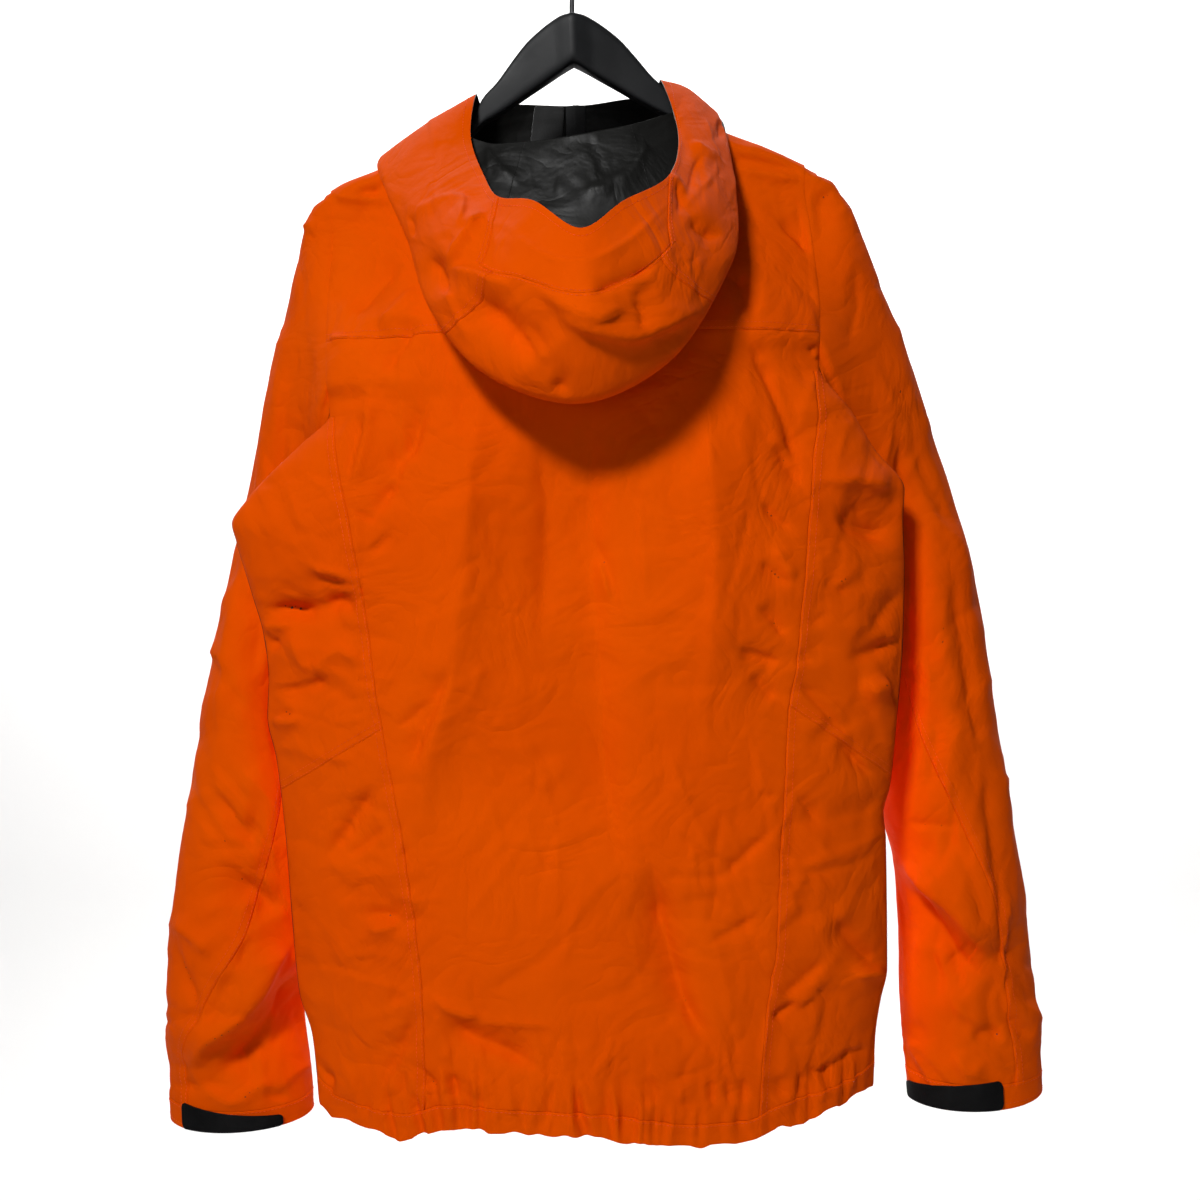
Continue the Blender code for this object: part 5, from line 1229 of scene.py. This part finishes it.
def makeSleeve(side):
    s, end = sleeveTube, sleeveForm["sections"] - 1
    outward = -1 if side == "left" else 1
    rows = leftSleeve if side == "left" else rightSleeve
    seam, front = (smoothThrough(sleeveSeam["section"], sleeveSeam[name]) for name in (side, "front"))
    cuff = end - cuffHeight / (rows["outZ"][-2] - rows["outZ"][-1])
    turnSamples = np.linspace(0, 1, s["turnSamples"])[:-1]

    def alongSections(places):
        section, turn = np.meshgrid(places, turnSamples, indexing="ij")
        return sleevePoint(side, turn, section)

    sections = throughBreaks(alongSections, (0, cuff, end), s["step"])
    shares = spread(s["widths"], s["step"])
    section = np.repeat(sections[:, None], len(shares), 1)
    low, middle, high = front(section) - 1, seam(section), front(section)
    turn = np.where(shares < 1, low + (middle - low) * shares, middle + (high - middle) * (shares - 1))
    plain = sleevePoint(side, turn, section)
    seamColumn = nearest(shares, 1)
    if side == "right":
        plain = plain[:, ::-1]
        seamColumn = len(shares) - 1 - seamColumn
    cuffRow = nearest(sections, cuff)
    u, v = arcs(plain)
    normal = frameOf(plain)[2]
    pictureU, pictureV = onPicture(plain)
    facing = ease((-normal[..., 1] + 0.15) / 0.45)
    far = ease((normal[..., 1] - 0.2) / 0.4)
    if side == "left":
        folds = leftSleeveCreases + leftSleeveScatter
    else:
        folds = rightSleeveCreases + rightSleeveScatter
    push = creases(pictureU, pictureV, folds, s["gain"], s["widen"]) * facing
    shiftU, shiftV = s["farShift"]
    push += creases(pictureU + shiftU, pictureV - shiftV, folds) * s["farGain"] * far
    push += crumple(u, v, 200 if side == "left" else 240, s["crumple"])
    push += atSeam((u - u[:, [seamColumn]]) * outward, v, 210)
    push += atSeam(v - v[[cuffRow]], u, 211, groove=0.12, lap=0.3, pucker=0.8)
    wrap = ease(np.minimum(u - u[:, [0]], u[:, [-1]] - u) / 10)
    fade = ease(v / 22) * wrap * (0.35 + 0.65 * ease((v[[-1]] - v) / 30))
    points = plain + normal * (push * fade)[..., None]
    points = clearOfBody(side, points, -cloth["armholeTuck"] + s["clear"] * ease(section / s["clearOver"]))
    points[:, -1] = points[:, 0]
    r, c = np.indices((len(sections) - 1, len(shares) - 1))
    # at the underarm corner the first rows double back on themselves: those cells are left out
    corner = points[:-1, :-1]
    inBox = (np.abs(corner[..., 2] - wingCorner[side]) < underarm["tall"]) & (corner[..., 1] < underarm["behind"])
    faceNormal = np.cross(points[1:, :-1] - points[:-1, 1:], points[1:, 1:] - corner)
    turnedBack = (frameOf(points)[2][:-1, :-1, 1] > underarm["facing"]) | (faceNormal[..., 1] > 0)
    kept = ~(inBox & (r < underarm["rows"]) & turnedBack)
    outer = c < seamColumn if side == "left" else c >= seamColumn
    cut = {
        f"sleeve_outer_{side}": (outer & (r < cuffRow) & kept, ["back_panel_cloth"]),
        f"sleeve_under_{side}": (~outer & (r < cuffRow) & kept, [f"front_{side}_cloth"]),
        f"cuff_{side}": (r >= cuffRow, [f"sleeve_outer_{side}_cloth"]),
    }
    # the turned-in edge at the armhole lies behind the body's edge and closes the joint
    wide, deepest = turnedIn["wide"], turnedIn["deepest"]
    deep = (points[0].mean(axis=0)[1] - points[0][:, 1]).clip(-deepest, deepest)
    above = points[0][:, 2] - wingCorner[side]
    drop = turnedIn["drop"] * ease((above - turnedIn["dropFrom"]) / turnedIn["dropOver"])
    turned = points[0] + np.stack([deep * 0 - outward * wide, deep, -drop], axis=-1)
    sewn, sewnPlain = (np.concatenate([turned[None], grid]) for grid in (points, plain))
    sewnUv = (np.concatenate([u[:1], u]), np.concatenate([v[:1] - wide, v]))
    for name, (cells, rests) in cut.items():
        cells, flat = np.concatenate([cells[:1], cells]), (sewnPlain, "hung", rests)
        wall(name, "orange_shell", sewn, cells, "orange", "lining", flat=flat, uv=sewnUv)
    for away in s["stitches"]:
        stitchColumn(points, u, seamColumn, away * outward, 3, cuffRow - 1)
    for away in (1.8, cuffHeight - 3.5):
        stitchRow(points, v, cuffRow, away, 2, len(shares) - 3)


print("making the body")
makeBack()
zipStrip = makeFront()
print("making the hood")
hoodPoints = makeHood()
print("making the sleeves")
for side in ("left", "right"):
    makeSleeve(side)


print("making the zip, tabs and facing")
zipShape = {"sunk": 0.8, "teethApart": 0.16, "teethOut": 1.2, "columns": 9, "below": 2}


def makeZip():
    s = zipShape
    leftEdges, rightEdges = hoodPoints[:, -1], hoodPoints[:, 0]
    onCollar = np.stack([leftEdges, (leftEdges + rightEdges) / 2, rightEdges], axis=1)
    strip = np.concatenate([onCollar, zipStrip[zipStrip[:, 1, 2] < onCollar[-1, 1, 2] - s["below"]]])
    strip[:, 1, 1] -= s["sunk"]
    lines = []
    for share in (-s["teethApart"], s["teethApart"]):  # the two rows of teeth
        lines.append(strip[:, 1] + (strip[:, 2] - strip[:, 0]) * share * 0.5 + np.array([0, s["teethOut"], 0]))
    width = np.linspace(0, 1, s["columns"])
    columns = [strip[:, [0]] * (1 - t) + strip[:, [1]] * t for t in width[:-1]]
    columns += [strip[:, [1]] * (1 - t) + strip[:, [2]] * t for t in width]
    wide = np.concatenate(columns, axis=1)
    cells = np.ones((wide.shape[0] - 1, wide.shape[1] - 1), bool)
    rests = ["front_left_cloth", "front_right_cloth"]
    wall("zip", "zip_tape", wide, cells, "tape", "tape", flat=(wide, "hung", rests))
    # the grid's rows run aslant across the strip on the front, so the longest row isn't the strip's width
    width, length, share, held, rests = cuts["zip"]
    cuts["zip"] = (round(width * share), length, 1.0, held, rests)
    return lines


teethLines = makeZip()
# Turns that each tab reaches from and to, and the rest in shares of the cuff's height
cuffTab = {"left": (0.12, 0.36), "right": (0.2, 0.47), "from": -0.2, "narrows": 0.62, "to": 0.97}
cuffTab |= {"lift": 2.7, "thick": 1.8, "along": 73, "across": 17, "tip": 0.1, "tipNarrows": 0.42, "bevel": 0.00045}


def makeCuffTab(side):
    s = cuffTab
    first, last = s[side]
    end = sleeveForm["sections"] - 1
    rows = leftSleeve if side == "left" else rightSleeve
    start = end - cuffHeight / (rows["outZ"][-2] - rows["outZ"][-1])
    turns = np.linspace(first, last, s["along"])
    low = start + (end - start) * (s["from"] + s["narrows"] * (turns - first) / (last - first))
    high = start + (end - start) * s["to"]
    if side == "right":
        turns, low = turns[::-1], low[::-1]
    share = np.linspace(0, 1, s["across"])[:, None]
    along = np.abs(np.linspace(-1, 1, s["along"]))[None]
    tip = np.clip((along - 0.9) / s["tip"], 0, 1)  # corners rounded towards both ends
    share = 0.5 + (share - 0.5) * (1 - s["tipNarrows"] * (1 - np.sqrt(1 - tip**2)))
    section = low + (high - low) * share
    points = sleevePoint(side, np.repeat(turns[None], s["across"], 0), section)
    cells = np.ones((s["across"] - 1, s["along"] - 1), bool)
    name = f"cuff_tab_{side}"
    piece = wall(name, "black_tab", points, cells, "tab", "tab", thick=s["thick"], lift=s["lift"])
    bevel = piece.modifiers.new("round", "BEVEL")
    bevel.width, bevel.segments, bevel.limit_method, bevel.angle_limit = s["bevel"], 2, "ANGLE", 1.0


for side in ("left", "right"):
    makeCuffTab(side)


# Loops and stations that it reaches from and to, and how its corners narrow
chinGuard = {"loops": (0.03, 1.52), "stations": (0.2, 0.62), "middle": 0.41, "count": 24, "thick": 1.0, "lift": -2.0}
chinGuard |= {"narrows": 0.1, "cornerFrom": 0.86, "cornerOver": 0.14, "uneven": 0.4}


def makeChinGuard():
    s = chinGuard
    count, middle = s["count"], s["middle"]
    station, loop = np.meshgrid(np.linspace(*s["stations"], count), np.linspace(*s["loops"], count))
    near = ease((np.abs(np.linspace(-1, 1, count)) - s["cornerFrom"]) / s["cornerOver"])[:, None]
    station = middle + (station - middle) * (1 - s["narrows"] * near)
    points = hoodPoint(station, loop)
    normal = frameOf(points)[2]
    points = points + normal * (s["uneven"] * softNoise(station * 9, loop * 4, 9))[..., None]
    cells, flat = np.ones((count - 1, count - 1), bool), (points, "laid", ["collar_left_cloth"])
    look = {"thick": s["thick"], "lift": s["lift"], "flat": flat}
    wall("chin_guard", "charcoal_facing", points, cells, "facing", "facing", **look)


makeChinGuard()


def alongTree(name, shape):  # puts a small shape at even distances along curves
    tree = bpy.data.node_groups.new(name, "GeometryNodeTree")
    face = tree.interface
    face.new_socket("Lines", in_out="INPUT", socket_type="NodeSocketGeometry")
    sizes = {"Pitch": 0.003, "Length": 0.002, "Width": 0.0005, "Depth": 0.0005, "Unevenness": 0.1}
    for label, value in sizes.items():
        face.new_socket(label, in_out="INPUT", socket_type="NodeSocketFloat").default_value = value
    face.new_socket("Seed", in_out="INPUT", socket_type="NodeSocketInt").default_value = 3
    face.new_socket("Finish", in_out="INPUT", socket_type="NodeSocketMaterial")
    face.new_socket("Geometry", in_out="OUTPUT", socket_type="NodeSocketGeometry")

    def add(kind, inputs=None, **settings):
        made = tree.nodes.new(kind)
        for key, value in settings.items():
            setattr(made, key, value)
        for key, value in (inputs or {}).items():
            if isinstance(value, bpy.types.NodeSocket):
                tree.links.new(value, made.inputs[key])
            else:
                made.inputs[key].default_value = value
        return made

    given, result = add("NodeGroupInput").outputs, add("NodeGroupOutput")
    inputs = {"Curve": given["Lines"], "Length": given["Pitch"]}
    places = add("GeometryNodeCurveToPoints", inputs, mode="LENGTH").outputs
    if shape == "stitch":
        one = add("GeometryNodeMeshUVSphere", {"Segments": 6, "Rings": 5, "Radius": 0.5}).outputs["Mesh"]
    else:
        one = add("GeometryNodeMeshCylinder", {"Vertices": 6, "Radius": 0.5, "Depth": 1.0}).outputs["Mesh"]
    size = add("ShaderNodeCombineXYZ", {"X": given["Width"], "Y": given["Depth"], "Z": given["Length"]})
    sized = add("GeometryNodeTransform", {"Geometry": one, "Scale": size.outputs["Vector"]}).outputs["Geometry"]
    least = add("ShaderNodeMath", {0: 1.0, 1: given["Unevenness"]}, operation="SUBTRACT").outputs[0]
    uneven = add("FunctionNodeRandomValue", data_type="FLOAT")
    floats = [s for s in uneven.inputs if s.type == "VALUE"]
    tree.links.new(least, floats[0])
    floats[1].default_value = 1.0
    tree.links.new(given["Seed"], uneven.inputs["Seed"])
    scale = [s for s in uneven.outputs if s.type == "VALUE"][0]
    inputs = {"Points": places["Points"], "Instance": sized, "Rotation": places["Rotation"], "Scale": scale}
    placed = add("GeometryNodeInstanceOnPoints", inputs)
    real = add("GeometryNodeRealizeInstances", {"Geometry": placed.outputs["Instances"]})
    smooth = add("GeometryNodeSetShadeSmooth", {"Geometry": real.outputs["Geometry"]})
    inputs = {"Geometry": smooth.outputs["Geometry"], "Material": given["Finish"]}
    finished = add("GeometryNodeSetMaterial", inputs)
    tree.links.new(finished.outputs["Geometry"], result.inputs["Geometry"])
    return tree


def alongLines(name, slot, lines, tree, values):
    data = bpy.data.curves.new(name + "Lines", "CURVE")
    data.dimensions = "3D"
    for line in lines:
        path = data.splines.new("POLY")
        path.points.add(len(line) - 1)
        path.points.foreach_set("co", np.concatenate([line * mm, np.ones((len(line), 1))], axis=1).ravel())
    guide = bpy.data.objects.new(name + "Lines", data)
    bpy.context.scene.collection.objects.link(guide)
    nodes = guide.modifiers.new("along", "NODES")
    nodes.node_group = tree
    for item in tree.interface.items_tree:
        if item.in_out == "INPUT" and item.name in values:
            nodes[item.identifier] = values[item.name]
    bpy.context.view_layer.update()
    graph = bpy.context.evaluated_depsgraph_get()
    mesh = bpy.data.meshes.new_from_object(guide.evaluated_get(graph))
    guide.modifiers.remove(nodes)
    bpy.data.objects.remove(guide)
    piece = bpy.data.objects.new(name, mesh)
    bpy.context.scene.collection.objects.link(piece)
    extras.append((piece, slot))
    print(name, "faces:", len(mesh.polygons))


extras = []
stitch = {"Pitch": 0.0031, "Length": 0.0023, "Width": 0.00042, "Depth": 0.00042, "Unevenness": 0.12, "Seed": 5}
stitch["Finish"] = looks["thread"]
tooth = {"Pitch": 0.0019, "Length": 0.0011, "Width": 0.0022, "Depth": 0.0016, "Unevenness": 0.02, "Seed": 8}
tooth["Finish"] = looks["teeth"]
alongLines("seam_stitches", "orange_shell", threads, alongTree("stitchesAlong", "stitch"), stitch)
alongLines("zip_teeth", "zip_tape", teethLines, alongTree("teethAlong", "tooth"), tooth)


# Half of the hanger, from its middle out to the end of an arm
hanger = table("x top low half", [
    (0, -62, -101, 11), (8, -63.5, -105.5, 11), (16, -67.5, -110.5, 10.5), (26, -74.5, -116.5, 10),
    (36, -83, -122.5, 9.5), (48, -97, -130, 9), (60, -112, -137, 8.5), (71, -123, -142.5, 8),
    (81, -142, -152, 6.5), (92, -154.5, -165, 6.5), (114, -164.5, -176, 7), (146, -175, -188, 7),
    (165, -184, -197, 7), (171, -188, -195, 5),
])
hangerTilt, hangerSweep, hangerTop = math.radians(2.2), math.radians(4.5), -62.0
hangerBody = {"round": 44, "squareness": 0.33, "ridge": 2.6, "ridgeWidth": 13.0, "step": 3.0, "half": 171}


def solidFrom(name, slot, rings, material):
    count, sides = rings.shape[:2]
    faces = []
    for i in range(count - 1):
        for k in range(sides):
            a, b = i * sides + k, i * sides + (k + 1) % sides
            faces.append([b, a, a + sides, b + sides])
    faces += [list(range(sides)), [(count - 1) * sides + k for k in reversed(range(sides))]]
    mesh = bpy.data.meshes.new(name)
    mesh.from_pydata([tuple(map(float, p)) for p in rings.reshape(-1, 3) * mm], [], faces)
    mesh.materials.append(looks[material])
    mesh.shade_smooth()
    piece = bpy.data.objects.new(name + "_body", mesh)
    bpy.context.scene.collection.objects.link(piece)
    pieces[name] = (piece, slot)


def makeHanger():
    half = hangerBody["half"]
    curves = {key: smoothThrough(hanger["x"], hanger[key]) for key in ("top", "low", "half")}
    xs = np.linspace(-half, half, int(2 * half / hangerBody["step"]) + 1)
    angle = 2 * math.pi * np.arange(hangerBody["round"]) / hangerBody["round"]
    wave = np.stack([np.cos(angle), np.sin(angle)])
    wave = np.sign(wave) * np.abs(wave) ** hangerBody["squareness"]
    rings = []
    for x in xs:
        top, low, half = (float(curves[key](np.array(abs(x)))) for key in ("top", "low", "half"))
        ridge = hangerBody["ridge"] * max(0, 1 - abs(x) / hangerBody["ridgeWidth"])
        y = abs(x) * math.tan(hangerSweep) + (half + ridge) * wave[0]
        z = (top + low) / 2 + (top - low) / 2 * wave[1]
        turn = math.sin(hangerTilt)
        rings.append(np.stack([x - (z - hangerTop) * turn, y, z + x * turn], axis=-1))
    solidFrom("hanger", "hanger_plastic", np.array(rings), "plastic")


# The shank's points are (x, z) from its seat in the hanger up to the crook
hook = {"wire": 2.1, "crook": 20.0, "arc": (-60, 205), "arcCount": 60, "round": 24, "tip": (0.93, 0.55)}
hook["shank"] = [(0, hangerTop - 20.0 + 0.3), (0, -70), (0, -62), (0, -56), (0.05, -51), (0.6, -46.5)]
hook["shank"] += [(1.7, -43), (3.4, -40), (6.2, -37.2)]


def makeHook():
    wire, crook = hook["wire"], hook["crook"]
    angles = np.linspace(*(math.radians(end) for end in hook["arc"]), hook["arcCount"])
    bend = [(crook * math.cos(a), wire - crook + crook * math.sin(a)) for a in angles]
    path = np.array([(x, 0, z) for x, z in hook["shank"] + bend[2:]], float)
    along = directions(path[:, None], 0)[:, 0]
    side = np.array([0.0, 1.0, 0.0])
    up = np.cross(side, along)
    angle = 2 * math.pi * np.arange(hook["round"]) / hook["round"]
    scale = np.ones(len(path))
    scale[-2:] = hook["tip"]
    circle = np.cos(angle)[None, :, None] * side + np.sin(angle)[None, :, None] * up[:, None]
    rings = path[:, None] + wire * scale[:, None, None] * circle
    solidFrom("hanger_hook", "hook_wire", rings[::-1], "chrome")


makeHanger()
makeHook()


def softLight(name, place, target, size, watts, spread=180):
    data = bpy.data.lights.new(name, "AREA")
    data.shape, data.size, data.size_y, data.energy = "RECTANGLE", size[0], size[1], watts
    data.spread = math.radians(spread)
    lamp = bpy.data.objects.new(name, data)
    bpy.context.scene.collection.objects.link(lamp)
    lamp.location = place
    lamp.rotation_euler = (Vector(target) - Vector(place)).to_track_quat("-Z", "Y").to_euler()


softLight("keyLight", (-1.25, -3.3, 1.9), (0.02, 0, -0.6), (0.75, 0.55), 10.4, spread=50)
softLight("frontLight", (-0.5, -2.6, -0.7), (0.02, 0, -0.7), (1.0, 0.8), 0.6, spread=50)
softLight("backdropLight", (0, 1.2, 1.3), (0, 2.9, -1.1), (3.4, 0.5), 120)

world = bpy.data.worlds.new("paleRoom")
bpy.context.scene.world = world
world.use_nodes = True
world.node_tree.nodes["Background"].inputs["Color"].default_value = (1, 1, 1, 1)
world.node_tree.nodes["Background"].inputs["Strength"].default_value = 0.06

floorShape = {"low": -1.9, "front": -4.2, "bendAt": 1.9, "bend": 0.8, "top": 3.0, "half": 4.5}


def makeFloor():
    s = floorShape
    arc = np.linspace(0, math.pi / 2, 17)
    side = [(s["front"], s["low"])]
    for a in arc:
        side.append((s["bendAt"] + s["bend"] * math.sin(a), s["low"] + s["bend"] * (1 - math.cos(a))))
    side.append((s["bendAt"] + s["bend"], s["top"]))
    corners = [(x, y, z) for y, z in side for x in (-s["half"], s["half"])]
    faces = [[2 * k, 2 * k + 1, 2 * k + 3, 2 * k + 2] for k in range(len(side) - 1)]
    mesh = bpy.data.meshes.new("pale_floor")
    mesh.from_pydata(corners, [], faces)
    paper = newLook("pale_paper", (0.88, 0.88, 0.875), 0.9, Specular_IOR_Level=0.1)[0]
    mesh.materials.append(paper)
    mesh.shade_smooth()
    floor = bpy.data.objects.new("pale_floor", mesh)
    bpy.context.scene.collection.objects.link(floor)


makeFloor()

for name, (piece, slot) in pieces.items():
    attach(piece, "jacket")
    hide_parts(name)
for piece, slot in extras:
    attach(piece, "jacket")
for name, (width, length, share, held, rests) in cuts.items():
    print("cut", name, width, length, share, held)
for name in ("zip_slider", "zip_pull"):
    piece = bpy.data.objects[name]
    for place in piece.material_slots:
        place.material = looks["darkMetal"]

everyPiece = [piece for piece, _ in [*pieces.values(), *extras]]
triangles = {piece.name: sum(len(p.vertices) - 2 for p in piece.data.polygons) for piece in everyPiece}
print("triangles:", sum(triangles.values()), "most:", max(triangles.items(), key=lambda item: item[1]))
